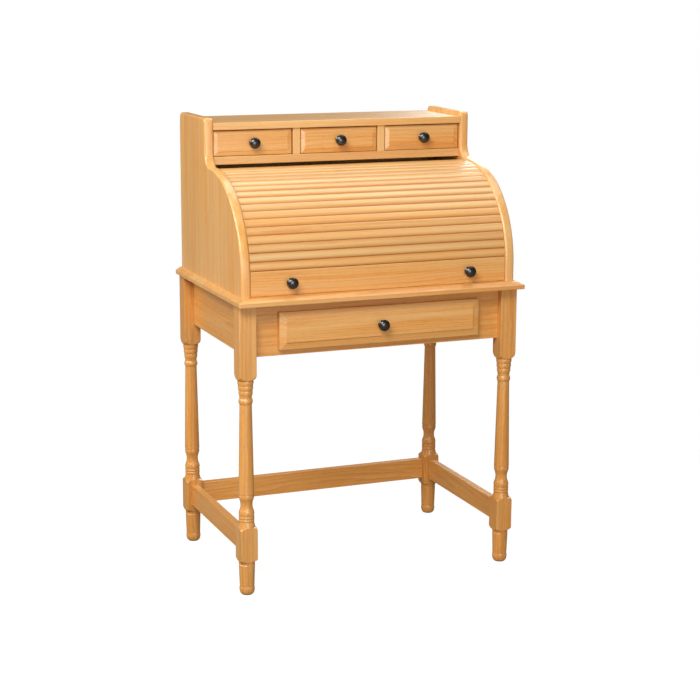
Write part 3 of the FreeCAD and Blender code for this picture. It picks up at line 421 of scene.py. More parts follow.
class Wire:
    """A shader socket in an expression: each operator adds a Math node and gives its result."""

    def __init__(self, recipe, socket):
        self.recipe = recipe
        self.socket = socket

    __add__ = __radd__ = maths("ADD")
    __mul__ = __rmul__ = maths("MULTIPLY")
    __sub__ = maths("SUBTRACT")
    __rsub__ = maths("SUBTRACT", turned=True)
    __truediv__ = maths("DIVIDE")
    __rtruediv__ = maths("DIVIDE", turned=True)
    __pow__ = maths("POWER")


class Recipe:
    """The nodes of a material or of the world."""

    def __init__(self, owner):
        owner.use_nodes = True
        self.tree = owner.node_tree

    def link(self, value, socket):
        if isinstance(value, Wire):
            self.tree.links.new(value.socket, socket)
        elif socket.type == "RGBA":
            socket.default_value = (*value, 1.0)
        else:
            socket.default_value = value

    def node(self, kind, settings=None, inputs=None):
        """Add a node: its settings first, then the values or links of its sockets. Gives its outputs."""
        made = self.tree.nodes.new("ShaderNode" + kind)
        for key, value in (settings or {}).items():
            setattr(made, key, value)
        for key, value in (inputs or {}).items():
            if isinstance(key, int):
                self.link(value, made.inputs[key])
            else:
                sockets = [s for s in made.inputs if key in (s.identifier, s.name) and s.enabled]
                self.link(value, sockets[0])
        return {socket.identifier: Wire(self, socket) for socket in made.outputs}

    def math(self, operation, *values):
        return self.node("Math", {"operation": operation}, dict(enumerate(values)))["Value"]

    def place(self):
        return self.node("TexCoord")["Object"]

    def attribute(self, name):
        return self.node("Attribute", {"attribute_name": name})["Vector"]

    def split(self, vector):
        parts = self.node("SeparateXYZ", inputs={"Vector": vector})
        return parts["X"], parts["Y"], parts["Z"]

    def size(self, vector):
        return self.node("VectorMath", {"operation": "LENGTH"}, {0: vector})["Value"]

    def noise(self, vector, scale, detail=2.0, roughness=0.5):
        inputs = {"Vector": vector, "Scale": scale, "Detail": detail, "Roughness": roughness}
        return self.node("TexNoise", inputs=inputs)["Fac"]

    def streaks(self, vector, scales, detail=2.0, roughness=0.5):
        """Noise with a scale of its own on each axis."""
        drawn = self.node("VectorMath", {"operation": "MULTIPLY"}, {0: vector, 1: scales})["Vector"]
        return self.noise(drawn, 1.0, detail, roughness)

    def step(self, value, low, high):
        """0 below low, 1 above high, smooth between."""
        inputs = {"Value": value, "From Min": low, "From Max": high}
        return self.node("MapRange", {"interpolation_type": "SMOOTHSTEP"}, inputs)["Result"]

    def mix(self, share, first, second):
        inputs = {"Factor_Float": share, "A_Color": first, "B_Color": second}
        return self.node("Mix", {"data_type": "RGBA", "clamp_factor": True}, inputs)["Result_Color"]

    def scaled(self, colour, share):
        return self.node("VectorMath", {"operation": "SCALE"}, {0: colour, "Scale": share})["Vector"]

    def bump(self, height, depth, strength):
        inputs = {"Height": height, "Distance": depth, "Strength": strength}
        return self.node("Bump", inputs=inputs)["Normal"]

    def light(self, kind, colour, strength):
        return self.node(kind, inputs={"Color": colour, "Strength": strength})[kind]

    def blended(self, share, first, second):
        return self.node("MixShader", inputs={0: share, 1: first, 2: second})["Shader"]

    def surface(self, **values):
        shader = self.tree.nodes["Principled BSDF"]
        for key, value in values.items():
            self.link(value, shader.inputs[key.replace("_", " ")])

    def ends_in(self, shader, unused, output):
        """Lead a shader of the recipe's own to the output, in place of the one that was there."""
        self.tree.nodes.remove(self.tree.nodes[unused])
        self.tree.links.new(shader.socket, self.tree.nodes[output].inputs["Surface"])


def oak(r, colour):
    """Oak under a clear satin coat. The ring a point lies in is its distance from a pith beside the plank,
    which wanders along the grain; pores are short dashes along the grain; each plank has its own tone.
    Each piece is made paler by its own tone and by painted sheen, brighter or darker by painted light and
    shade, and the slats darker towards their joints by painted shade."""
    width = sizes().plank_width
    grain = r.attribute(GRAIN)
    along, across, deep = r.split(grain)
    plank = r.math("FLOOR", across / width)
    luck = r.node("TexWhiteNoise", {"noise_dimensions": "1D"}, {"W": plank})
    tone, turn, far = r.split(luck["Color"])
    course = r.node("CombineXYZ", inputs={"X": along * 0.9, "Y": plank * 3.7, "Z": tone * 9.0})["Vector"]
    sway = r.noise(course, 1.3, 1.0) - 0.5
    side = across - (plank + 0.5) * width + (turn - 0.5) * 0.09 + sway * 0.05
    depth = deep + 0.016 + far * 0.06 + sway * 0.03
    pith = r.node("CombineXYZ", inputs={"X": 0.0, "Y": side, "Z": depth})["Vector"]
    ripple = r.streaks(grain, (6.0, 70.0, 70.0), 3.0) - 0.5
    ring_width = 0.0046 + far * 0.0040
    ring = r.math("FRACT", r.size(pith) / ring_width + ripple * 1.5)
    late = ring ** 2.4 * (1 - r.step(ring, 0.90, 1.0))
    streak = r.streaks(grain, (2.6, 95.0, 95.0), 3.0, 0.6)
    fine = r.streaks(grain, (9.0, 420.0, 420.0), 2.0, 0.6)
    broad = r.streaks(grain, (1.4, 46.0, 46.0)) - 0.5
    dash = r.streaks(grain, (48.0, 1500.0, 1500.0), 1.0)
    pores = r.step(dash, 0.60, 0.72) * (1 - late * 0.7)
    pale, bright, thick = r.split(r.attribute(TONE))
    wood = r.mix(r.step(streak, 0.30, 0.72), colour.oak_light, colour.oak_warm)
    wood = r.mix(late * 0.70, wood, colour.oak_ring)
    wood = r.mix(r.step(fine, 0.50, 0.80) * 0.46, wood, colour.oak_ring)
    wood = r.mix(pores * 0.55, wood, colour.oak_pore)
    # paler oak: the piece's own tone, a random tone per plank and broad streaks, with painted sheen in the
    # piece's pale share
    wood = r.mix(pale + (tone - 0.5) * 0.30 + broad * 1.1, wood, colour.oak_pale_and_sheen)
    # painted shade along the slats' joints, in the colour of the dense ring wood
    wood = r.mix(thick * 0.95, wood, colour.oak_ring)
    # painted light and shade: the whole piece scaled brighter or darker, with a random tone per plank
    wood = r.scaled(wood, bright * (0.95 + turn * 0.10))
    dull = 0.40 + pores * 0.15 + (streak - 0.5) * 0.10
    dents = r.bump(fine * 0.25 - pores, 0.00012, 0.6)
    r.surface(Base_Color=wood, Roughness=dull, Normal=dents, Coat_Weight=0.9, Coat_Roughness=0.24)


def inner_wood(r, colour):
    """Pale, plain wood for what is hidden: soft streaks along the grain."""
    place = r.place()
    streak = r.streaks(place, (60.0, 3.0, 60.0), 3.0, 0.6)
    fine = r.streaks(place, (500.0, 18.0, 500.0))
    wood = r.mix(r.step(streak, 0.35, 0.75), colour.inner_wood, colour.inner_streak)
    wood = r.mix(r.step(fine, 0.5, 0.8) * 0.25, wood, colour.inner_streak)
    r.surface(Base_Color=wood, Roughness=0.5 + (streak - 0.5) * 0.2, Normal=r.bump(fine, 0.0001, 0.4))


def plywood(r, colour):
    """Thin oak-faced sheet: wide, soft figure drawn out along Z, from slow noise."""
    place = r.place()
    figure = r.math("FRACT", r.streaks(place, (9.0, 9.0, 1.2)) * 14.0)
    fine = r.streaks(place, (420.0, 420.0, 14.0))
    wood = r.mix(figure ** 2.0 * 0.45, colour.oak_light, colour.oak_warm)
    wood = r.mix(r.step(fine, 0.52, 0.8) * 0.35, wood, colour.oak_ring)
    wood = r.mix(0.25, wood, colour.inner_wood)
    r.surface(Base_Color=wood, Roughness=0.48 + (fine - 0.5) * 0.15, Normal=r.bump(fine, 0.0001, 0.4))


def knob_bronze(r, colour):
    """Dark rubbed bronze: a nearly black coat, thinner in soft patches."""
    place = r.place()
    cloud = r.noise(place, 160.0, 3.0, 0.6)
    speck = r.noise(place, 1400.0)
    metal = r.mix(r.step(cloud, 0.45, 0.75) * 0.6, colour.bronze, colour.bronze_worn)
    dull = 0.26 + (speck - 0.5) * 0.04 + (cloud - 0.5) * 0.06
    dents = r.bump(cloud, 0.00003, 0.1)
    r.surface(Base_Color=metal, Roughness=dull, Specular_IOR_Level=1.0, Normal=dents)


def screw_steel(r, colour):
    """Zinc-plated steel with a faint cloud."""
    cloud = r.noise(r.place(), 700.0, 3.0)
    metal = r.scaled(colour.steel, 0.8 + cloud * 0.4)
    r.surface(Base_Color=metal, Metallic=1.0, Roughness=0.28 + cloud * 0.2)


def canvas(r, colour):
    """Plain weave: two rows of waves, over and under by turns, with slubs along the threads."""
    wide, tall, _ = r.split(r.attribute(GRAIN))
    warp = r.math("SINE", wide * 2600.0)
    weft = r.math("SINE", tall * 2600.0)
    over = warp * weft * 0.5 + 0.5
    ribs = r.math("ABSOLUTE", warp) * over + r.math("ABSOLUTE", weft) * (1 - over)
    slub = r.streaks(r.place(), (30.0, 700.0, 700.0))
    cloth = r.scaled(colour.canvas, 0.70 + ribs * 0.25 + slub * 0.25)
    r.surface(Base_Color=cloth, Roughness=0.9, Normal=r.bump(ribs, 0.0003, 0.6))


def glide_plastic(r, colour):
    """Dark nylon with a fine moulded texture."""
    speck = r.noise(r.place(), 2200.0)
    skin = r.scaled(colour.glide, 0.8 + speck * 0.4)
    r.surface(Base_Color=skin, Roughness=0.45 + speck * 0.2, Normal=r.bump(speck, 0.00005, 0.5))


def floor(r, colour):
    """White floor: to the camera it shows the desk's shadow faintly and turns plain white further off. The
    coat on the wood mirrors a share of that white, in front and behind; other light meets a warm grey."""
    rays = r.node("LightPath")
    place = r.place()
    deep = r.split(place)[1]
    bright = r.step(deep, 1.0, 4.0) * 0.12 + r.step(0 - deep, 1.2, 3.6) * 0.3
    seen = r.math("MAXIMUM", rays["Is Camera Ray"], rays["Is Glossy Ray"] * bright)
    seen = r.math("MAXIMUM", seen, rays["Is Transmission Ray"])
    matt = r.node("BsdfDiffuse", inputs={"Color": colour.floor_near})["BSDF"]
    near = r.node("AddShader", inputs={0: matt, 1: r.light("Emission", WHITE, 0.90)})["Shader"]
    shown = r.blended(r.step(r.size(place), 0.75, 1.6), near, r.light("Emission", WHITE, 1.0))
    grey = r.node("BsdfDiffuse", inputs={"Color": colour.floor_bounce})["BSDF"]
    r.ends_in(r.blended(seen, grey, shown), "Principled BSDF", "Material Output")


FINISHES = {finish.__name__: finish for finish in (oak, inner_wood, plywood, knob_bronze, screw_steel,
                                                   canvas, glide_plastic, floor)}


def finish_of(name):
    """A finish, made the first time it is asked for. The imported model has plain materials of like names."""
    material = bpy.data.materials.get(FINISH_NAME + name)
    if material is None:
        material = bpy.data.materials.new(FINISH_NAME + name)
        FINISHES[name](Recipe(material), colours())
    return material


# Legs

BLOCK = None
LEG_TURNING = (
    # height and radius at the end of each part, how far it stands out, and how finely it is cut
    (0.571, BLOCK, 0.0, 2),
    (0.554, 0.0195, 0.0026, 26),
    (0.541, 0.01825, 0.0012, 10),
    (0.528, 0.0170, 0.0012, 10),
    (0.515, 0.01575, 0.0012, 10),
    (0.508, 0.0153, 0.0, 3),
    (0.493, 0.0153, 0.0024, 14),
    (0.263, 0.0197, 0.0, 12),
    (0.263, 0.0183, 0.0, 2),
    (0.250, 0.0183, 0.0012, 10),
    (0.2235, 0.0168, -0.0023, 14),
    (0.206, 0.0187, 0.0019, 12),
    (0.1985, 0.0187, 0.0011, 9),
    (0.191, 0.0187, 0.0011, 9),
    (0.1775, 0.0218, 0.0, 4),
    (0.171, BLOCK, 0.0011, 22),
    (0.0945, BLOCK, 0.0, 2),
    (0.088, 0.0207, 0.0011, 22),
    (0.0815, 0.0204, 0.0, 3),
    (0.07975, 0.0191, 0.0, 2),
    (0.078, 0.0204, 0.0, 2),
    (0.0235, 0.0187, 0.0, 4),
    (0.0235, 0.0178, 0.0, 2),
    (0.003, 0.0166, 0.0022, 16),
)
BLOCK_SPARE = 0.0002
PAD_EASE = 0.0008


def square_angles(half, ease, flat=14, bend=4):
    """Angles round a square with eased corners, and how far the square reaches at each: the flat faces at
    half / cos, and at the corners the far side of the small circle that eases them."""
    flats = np.arctan(np.linspace(0, half - ease, flat) / half)
    corner = np.linspace(flats[-1], math.pi / 4, bend + 1)[1:]
    eighth = np.concatenate([flats, corner])
    quarter = np.concatenate([eighth, QUARTER - eighth[-2:0:-1]])
    angle = (quarter + np.arange(4)[:, None] * QUARTER).ravel()
    folded = np.abs((angle + math.pi / 4) % QUARTER - math.pi / 4)
    core = half - ease
    lean = np.cos(folded) - np.sin(folded)
    curve = core * (np.cos(folded) + np.sin(folded)) + np.sqrt(np.maximum(ease ** 2 - (core * lean) ** 2, 0))
    return angle, np.where(np.tan(folded) * half > core, curve, half / np.cos(folded))


def leg_solid(x, y, top):
    """Leg as a surface of height and angle: at each, the smaller of the turned profile's radius and the
    reach of the square it was turned from."""
    size = sizes()
    angle, square = square_angles(size.leg_side / 2, size.edge_ease)
    corner = square.max() + BLOCK_SPARE
    place = np.array([top, corner])
    runs = []
    for height, radius, rise, count in LEG_TURNING:
        end = np.array([height, corner if radius is BLOCK else radius])
        runs.append(arc(place, end, -rise, count))
        place = end
    turning = np.concatenate(runs)
    reach = np.minimum(turning[:, 1:], square)
    height = np.broadcast_to(turning[:, :1], reach.shape)
    return stacked(np.stack([x + reach * np.cos(angle), y + reach * np.sin(angle), height], -1))


def pad_solid(x, y):
    """Round pad under a foot: a flat disc with its lower edge rounded."""
    radius, tall = sizes().pad_radius, sizes().pad_height
    edge = arc((radius - PAD_EASE, 0.0), (radius, PAD_EASE), -PAD_EASE * (1 - math.sqrt(0.5)), 5)
    profile = np.concatenate([[(0, 0), (radius - 2 * PAD_EASE, 0)], edge, [(radius, tall), (0, tall)]])
    return lathed(profile, (x, y, 0), Z, count=40)


class DESK_OT_legs(bpy.types.Operator):
    """Make the four turned legs and the pads under their feet"""
    bl_idname = "desk.legs"
    bl_label = "Legs"

    def execute(self, context):
        pads = []
        for name in LEGS:
            node = "leg_" + name
            low, high = box_of(node)
            x, y = ((low + high) / 2)[:2]
            add_oak(node, leg_solid(x, y, high[Z]), Z, X)
            pads.append(pad_solid(x, y))
        add_piece("foot_glides", joined(pads), "glide_plastic")
        return {"FINISHED"}


# Rails and board

RAILS = (("back", X, "leg_back_left", "leg_back_right"), ("left", Y, "leg_front_left", "leg_back_left"),
         ("right", Y, "leg_front_right", "leg_back_right"))
BOARD_CORNER = 0.0025
BOARD_INSET, BOARD_LIMIT = 0.1, 0.05


def apron_front():
    """Front apron: a rail above and a rail below the drawer opening, and a short stile at each side. The
    drawer's front overlaps the opening by its lip."""
    size = sizes()
    low, high = between("apron_front", X, "leg_front_left", "leg_front_right")
    front = box_of("main_drawer_front")
    left, sill = front[0][[X, Z]] + size.main_lip
    right, head = front[1][[X, Z]] - size.main_lip
    parts = (
        (low, (high[X], high[Y], sill)),
        ((low[X], low[Y], head), high),
        ((low[X], low[Y], sill), (left, high[Y], head)),
        ((right, low[Y], sill), (high[X], high[Y], head)),
    )
    boxes = [eased_box(*part, size.seam_ease) for part in parts]
    return joined([grained(box, X, Z, f"apron_front_{i}") for i, box in enumerate(boxes)])


class DESK_OT_rails(bpy.types.Operator):
    """Make the aprons and the stretchers between the legs"""
    bl_idname = "desk.rails"
    bl_label = "Aprons and stretchers"

    def execute(self, context):
        for kind in ("apron", "stretcher"):
            for side, axis, near, far in RAILS:
                node = f"{kind}_{side}"
                low, high = between(node, axis, near, far)
                add_oak(node, eased_box(low, high, sizes().edge_ease), axis, Z)
        add_piece("apron_front", apron_front(), "oak")
        return {"FINISHED"}


class DESK_OT_board(bpy.types.Operator):
    """Make the writing board with its bevelled edge, which is square at the back"""
    bl_idname = "desk.board"
    bl_label = "Writing board"

    def execute(self, context):
        size = sizes()
        low, high = box_of("desk_top")
        bevel, ease = size.board_bevel, size.edge_ease
        corners = [(BOARD_INSET, low[Z]), (0, low[Z]), (0, high[Z] - size.board_drop), (bevel, high[Z]),
                   (BOARD_INSET, high[Z])]
        profile = open_line(corners, [0, ease, ease, ease, 0], BOARD_LIMIT)
        rings = framed_slab(low[:2], high[:2], profile, BOARD_CORNER, spared=bevel)
        add_oak("desk_top", stacked(rings), X, Y, glued=True)
        return {"FINISHED"}


# Upper case

# points along a panel's front curve, a small curve, a rounded edge and the track
CURVE, CORNER, EDGE, TRACK = 49, 13, 7, 121
# how far above the board the track ends, and the shares of the rounding at the back and round the face
TRACK_END = 0.0005
BACK_SHARE, FACE_SHARE = 0.2, 1.4
# rounding of the gallery top's front and back edges
NOSE_EASE, TAIL_EASE = 0.002, 0.001


def on_roll(along, out, angle):
    """(y, z) of a point that lies along the roll and out from its axis, at an angle from level."""
    size = sizes()
    y = size.roll_depth - out * np.cos(angle) + along * np.sin(angle)
    z = size.roll_height + out * np.sin(angle) + along * np.cos(angle)
    return y, z


def panel_outline(foot, head, back, shelf, gap):
    """Side panel's outline from the roll's axis, each point with the way its edge is rounded: from the front
    foot up the quarter circle, round the hollow, over the top to the back foot and past the track's ends."""
    size = sizes()
    front, hollow, corner = size.panel_radius, size.panel_ogee, size.panel_corner
    t = np.linspace(0, QUARTER, CURVE)
    few = np.linspace(0, QUARTER, CORNER)
    sin, cos = np.sin, np.cos
    runs = (
        ([-front] * 2, [foot, foot / 2], [-1] * 2, [0] * 2),
        (-front * cos(t), front * sin(t), -cos(t), sin(t)),
        (hollow * sin(few), front + hollow - hollow * cos(few), -sin(few), cos(few)),
        (hollow + corner - corner * cos(few), head - corner + corner * sin(few), -cos(few), sin(few)),
        (back - corner + corner * sin(few), head - corner + corner * cos(few), sin(few), cos(few)),
        ([back] * 3, [shelf, shelf, foot], [BACK_SHARE] * 3, [0] * 3),
        ([gap[0], gap[1], -gap[1], -gap[0]], [foot] * 4, [0] * 4, [0] * 4),
    )
    return np.concatenate([np.stack(run, -1) for run in runs])


def panel_solid(node):
    """Side panel: rings of its outline lie through the thickness, drawn in where the edge is rounded, and
    further at the back from the depth of the rebate on. The inner face has the curved track, whose four
    lines run from foot to foot."""
    size = sizes()
    low, high = box_of(node)
    side = 1 if low[X] > 0 else -1
    outer, inner = (high[X], low[X]) if side > 0 else (low[X], high[X])
    foot, head = low[Z] - size.roll_height, high[Z] - size.roll_height
    first, last = box_of("case_back")
    shelf = box_of("gallery_top")[0][Z] - size.roll_height
    end = foot + TRACK_END
    gap = [math.sqrt(radius ** 2 - end ** 2) for radius in (size.track_outer, size.track_inner)]
    outline = panel_outline(foot, head, last[Y] - size.roll_depth, shelf, gap)
    place, normal = outline[:, :2], outline[:, 2:]
    rebated = np.zeros_like(place)
    rebated[-6:-4, 0] = last[Y] - first[Y]
    edge = size.panel_round
    bend = np.linspace(0, QUARTER, EDGE)
    start = np.stack([edge * (1 - np.cos(bend)), edge * (1 - np.sin(bend))], -1)
    thick = abs(outer - inner)
    cut = thick - (last[X] - abs(inner))
    inset = edge * FACE_SHARE
    layers = [(0.0, inset, 0)] + [(d, i, 0) for d, i in start] + [(cut, 0.0, 0), (cut, 0.0, 1)]
    layers += [(thick - d, i, 1) for d, i in start[::-1]] + [(thick, inset, 1)]
    layers = np.array(layers)
    flat = place - normal * layers[:, 1, None, None] - rebated * layers[:, 2, None, None]
    depth = np.broadcast_to(outer - side * layers[:, 0, None], flat.shape[:2])
    rings = np.stack([depth, flat[..., 0] + size.roll_depth, flat[..., 1] + size.roll_height], -1)
    rows, columns = rings.shape[:2]
    turn = np.linspace(0, 1, TRACK)
    track = []
    for radius, reach in zip([size.track_outer] * 2 + [size.track_inner] * 2, (0, 1, 1, 0)):
        lowest = math.asin(end / radius)
        y, z = on_roll(0, radius, lowest + (math.pi - 2 * lowest) * turn)
        track.append(np.stack([np.full(TRACK, inner + side * size.track_depth * reach), y, z], -1))
    base = rows * columns
    face = base - columns + np.arange(columns)
    upper, lower = base + np.arange(TRACK), base + 3 * TRACK + np.arange(TRACK)
    feet = face[-4:]
    caps = [
        np.arange(columns)[::-1],
        np.concatenate([face[:-4], feet[:1], upper[::-1], feet[3:]]),
        np.concatenate([feet[1:2], lower[::-1], feet[2:3]]),
        np.array([feet[0], upper[-1], lower[-1], feet[1]]),
        np.array([feet[2], lower[0], upper[0], feet[3]]),
        base + np.arange(4) * TRACK,
        base + np.arange(4) * TRACK + TRACK - 1,
    ]
    quads = np.concatenate([grid_quads(rows, columns), base + grid_quads(4, TRACK, closed=False)])
    return Solid(np.concatenate([rings.reshape(-1, 3), np.concatenate(track)]), quads, caps)


class DESK_OT_panels(bpy.types.Operator):
    """Make the two shaped side panels with their tracks"""
    bl_idname = "desk.panels"
    bl_label = "Side panels"

    def execute(self, context):
        for node in PANELS:
            add_oak(node, panel_solid(node), Z, Y, glued=True)
        return {"FINISHED"}


class DESK_OT_gallery(bpy.types.Operator):
    """Make the gallery: its top, rail, deck, dividers and the back of the case"""
    bl_idname = "desk.gallery"
    bl_label = "Gallery"

    def execute(self, context):
        size = sizes()
        low, high = between("gallery_top", X, *PANELS)
        corners = [low[1:], (high[Y], low[Z]), high[1:], (low[Y], high[Z])]
        outline = softened(corners, [NOSE_EASE, TAIL_EASE, TAIL_EASE, NOSE_EASE], steps=4)
        add_oak("gallery_top", swept(outline, low[X], high[X]), X, Y, glued=True)
        for node, across, ease in (("drawer_rail", Z, size.edge_ease), ("drawer_deck", Y, size.seam_ease)):
            add_oak(node, eased_box(*between(node, X, *PANELS), ease), X, across)
        for node in ("divider_left", "divider_right"):
            add_oak(node, eased_box(*box_of(node), size.seam_ease * 2), Z, Y, glued=True)
        add_piece("case_back", eased_box(*box_of("case_back"), size.seam_ease), "plywood")
        return {"FINISHED"}


# Tambour

SLATS = 19
SLAT_PITCH, SLAT_FIRST = math.radians(5.16), math.radians(7.735)
RAIL_TONGUE = (math.radians(-9.03), math.radians(4.39))
CANVAS_START = math.radians(-2.58)
# points across a slat's face and along the rail's tongue, and lines of the canvas
SLAT_STEPS, TONGUE_STEPS, CANVAS_ACROSS, CANVAS_ALONG = 17, 9, 25, 61
SHOULDER_EASE, TONGUE_SPARE, CANVAS_SPARE = 0.0005, 0.0002, 0.0001


def slat_outline():
    """Slat, (along the roll, out from its axis): flat back, sides that spread a little, and a face that
    falls off from its middle by the cube of the way to its edge."""
    size = sizes()
    half, face = size.slat_width / 2, size.slat_face / 2
    way = np.linspace(1, -1, SLAT_STEPS)
    crown = np.stack([face * way, size.slat_shoulder + size.slat_crown * (1 - np.abs(way) ** 3)], -1)
    corners = np.concatenate([[(-half, size.slat_back), (half, size.slat_back)], crown])
    reach = np.zeros(len(corners))
    reach[[0, 1]] = size.seam_ease
    reach[[2, -1]] = SHOULDER_EASE
    return softened(corners, reach)


def slat_solid(angle):
    """Slat with a thinner tongue at each end: its outline carried along X, cut back where the tongue is.
    Painted shade darkens it towards its edges, by the square of the way there, and the more so the steeper
    the slat stands."""
    size = sizes()
    outline = slat_outline()
    thin = np.stack([outline[:, 0], np.minimum(outline[:, 1], size.tongue_face)], -1)
    wide, tongue = size.slat_reach, size.tongue_reach
    rings = []
    for x, shape in ((-tongue, thin), (-wide, thin), (-wide, outline), (wide, outline), (wide, thin),
                     (tongue, thin)):
        y, z = on_roll(shape[:, 0], shape[:, 1], angle)
        rings.append(np.stack([np.full(len(y), x), y, z], -1))
    slat = stacked(rings)
    way = np.abs(outline[:, 0]) / (size.slat_face / 2)
    # painted shade towards a slat's edges, where it meets its neighbours; less on the level slats at the top
    slat.tone[:, 2] = np.tile(way ** 2 * max(math.cos(angle), 0), len(rings))
    return slat


def tongue_solid(side):
    """Tongue at an end of the lift rail: a short piece of ring that follows the track."""
    size = sizes()
    turn = np.linspace(*RAIL_TONGUE, TONGUE_STEPS)
    radii = np.repeat([size.tongue_face - TONGUE_SPARE, size.slat_back + TONGUE_SPARE], TONGUE_STEPS)
    y, z = on_roll(0, radii, np.concatenate([turn, turn[::-1]]))
    return swept(np.stack([y, z], -1), *sorted((side * size.slat_reach, side * size.tongue_reach)))


def faces_axis(piece):
    """True if the sheet's faces look towards the axis that it is bent round."""
    face = piece.data.polygons[0]
    size = sizes()
    out = Vector((0, face.center.y - size.roll_depth, face.center.z - size.roll_height))
    return face.normal.dot(out) < 0


class DESK_OT_tambour(bpy.types.Operator):
    """Make the tambour: slats, the canvas behind them and the lift rail"""
    bl_idname = "desk.tambour"
    bl_label = "Tambour"

    def execute(self, context):
        size = sizes()
        slats = [grained(slat_solid(SLAT_FIRST + i * SLAT_PITCH), X, Z, f"slat_{i}") for i in range(SLATS)]
        add_piece("tambour_slats", joined(slats), "oak")
        low, high = box_of("lift_rail")
        inside, top = low[Y] + size.rail_thickness, high[Z] + size.seam_ease
        rail = eased_box((-size.slat_reach, low[Y], low[Z]), (size.slat_reach, inside, top), size.edge_ease)
        add_oak("lift_rail", joined([rail, tongue_solid(-1), tongue_solid(1)]), X, Z)
        self.add_canvas(CANVAS_START, SLAT_FIRST + (SLATS - 0.5) * SLAT_PITCH)
        return {"FINISHED"}

    def add_canvas(self, start, end):
        """Cloth on the backs of the slats: a sheet bent round the roll, given its thickness inwards."""
        size = sizes()
        radius = size.slat_back - CANVAS_SPARE
        half = box_of("tambour_canvas")[1][X]
        across, angle = np.meshgrid(np.linspace(-half, half, CANVAS_ACROSS),
                                    np.linspace(start, end, CANVAS_ALONG))
        cloth = Solid(np.stack([across, *on_roll(0, radius, angle)], -1),
                      grid_quads(CANVAS_ALONG, CANVAS_ACROSS, closed=False))
        cloth.grain = np.stack([across, angle * radius, np.zeros_like(angle)], -1).reshape(-1, 3)
        piece = add_piece("tambour_canvas", cloth, "canvas")
        wall = piece.modifiers.new("thickness", "SOLIDIFY")
        wall.thickness = size.canvas_thickness
        wall.offset = 1.0 if faces_axis(piece) else -1.0


# Drawers

# rounding at each corner of a drawer front's section, and of the front's own corners
FRONT_EASE = (0, 0.0006, 0.0010, 0.0003, 0.0006, 0)
FRONT_CORNER = 0.0012
# how far in the section starts at the back and ends on the field, how much of the field is drawn, and how
# far the step leans
BACK_INSET, FIELD_INSET, FIELD_DRAWN, STEP_SLOPE = 0.02, 0.06, 0.004, 0.0004


def drawer_front(node, bevel, fall, step, clear=0.0):
    """Drawer front: rings round its rectangle, from the back over the edge and up the bevel to a small
    step, then the raised field."""
    low, high = box_of(node)
    thick = high[Y] - low[Y]
    corners = [(BACK_INSET, 0), (0, 0), (0, thick - fall), (bevel, thick - step),
               (bevel + STEP_SLOPE, thick), (FIELD_INSET, thick)]
    profile = open_line(corners, FRONT_EASE, bevel + FIELD_DRAWN)
    rings = framed_slab(low[[X, Z]] + clear, high[[X, Z]] - clear, profile, FRONT_CORNER)
    return stacked(np.stack([rings[..., 0], high[Y] - rings[..., 2], rings[..., 1]], -1))


def add_walls(drawer, walls):
    """Walls of a drawer as eased boards."""
    for wall in walls:
        node = f"{drawer}_{wall}"
        add_piece(node, eased_box(*box_of(node), sizes().seam_ease * 2), "inner_wood")


class DESK_OT_main_drawer(bpy.types.Operator):
    """Make the main drawer"""
    bl_idname = "desk.main_drawer"
    bl_label = "Main drawer"

    def execute(self, context):
        size = sizes()
        node = "main_drawer_front"
        add_oak(node, drawer_front(node, size.main_bevel, size.main_drop, size.main_step), X, Z)
        add_walls("main_drawer", ("side_left", "side_right", "back", "inner_front"))
        return {"FINISHED"}


class DESK_OT_small_drawers(bpy.types.Operator):
    """Make the three small drawers of the gallery"""
    bl_idname = "desk.small_drawers"
    bl_label = "Small drawers"

    def execute(self, context):
        size = sizes()
        wall, ease = size.small_wall, size.seam_ease * 2
        for name in SMALL:
            drawer = "small_drawer_" + name
            node = drawer + "_front"
            front = drawer_front(node, size.small_bevel, size.small_drop, size.small_step, size.small_clear)
            add_oak(node, front, X, Z)
            low, high = box_of(drawer + "_sides")
            sides = [eased_box(low, (low[X] + wall, high[Y], high[Z]), ease),
                     eased_box((high[X] - wall, low[Y], low[Z]), high, ease)]
            add_piece(drawer + "_sides", joined(sides), "inner_wood")
            add_walls(drawer, ("back",))
        return {"FINISHED"}


KNOBS = ("lift_knob_left", "lift_knob_right", "main_drawer_knob",
         *(f"small_drawer_{name}_knob" for name in SMALL))


def knob_profile():
    """Half section of a knob, (radius, distance from the wood): foot, hollow neck, flare, and a dome that is
    a quarter of an ellipse."""
    waist, lip, widest = (0.007, 0.009), (0.013, 0.0138), (0.0145, 0.0162)
    dome_rise = 0.0078
    foot = [(0, 0), (0.0106, 0), (0.011, 0.0004), (0.011, 0.0019), (0.0107, 0.0023)]
    neck = arc((0.0102, 0.0025), waist, 0.0009, 9)
    flare = arc(waist, lip, 0.0012, 9)
    rim = arc(lip, widest, -0.0005, 7)
    turn = np.linspace(0, QUARTER, 21)
    dome = np.stack([widest[0] * np.cos(turn), widest[1] + dome_rise * np.sin(turn)], -1)
    return np.concatenate([foot, neck, flare[1:], rim[1:], dome[1:]])


class DESK_OT_knobs(bpy.types.Operator):
    """Make the six dark knobs"""
    bl_idname = "desk.knobs"
    bl_label = "Knobs"

    def execute(self, context):
        profile = knob_profile() * (1, -1)
        for node in KNOBS:
            low, high = box_of(node)
            seat = ((low[X] + high[X]) / 2, high[Y], (low[Z] + high[Z]) / 2)
            add_piece(node, lathed(profile, seat, Y, count=56), "knob_bronze")
        return {"FINISHED"}


# Fixings

KEPT = {"inner_wood": ("corner_blocks", "drawer_runner_left", "drawer_runner_right", "drawer_kickers"),
        "plywood": ("main_drawer_bottom", *(f"small_drawer_{name}_bottom" for name in SMALL)),
        "screw_steel": ("top_screws", "panel_screws", "lift_knob_screws", "main_drawer_knob_screw",
                        *(f"small_drawer_{name}_knob_screw" for name in SMALL))}


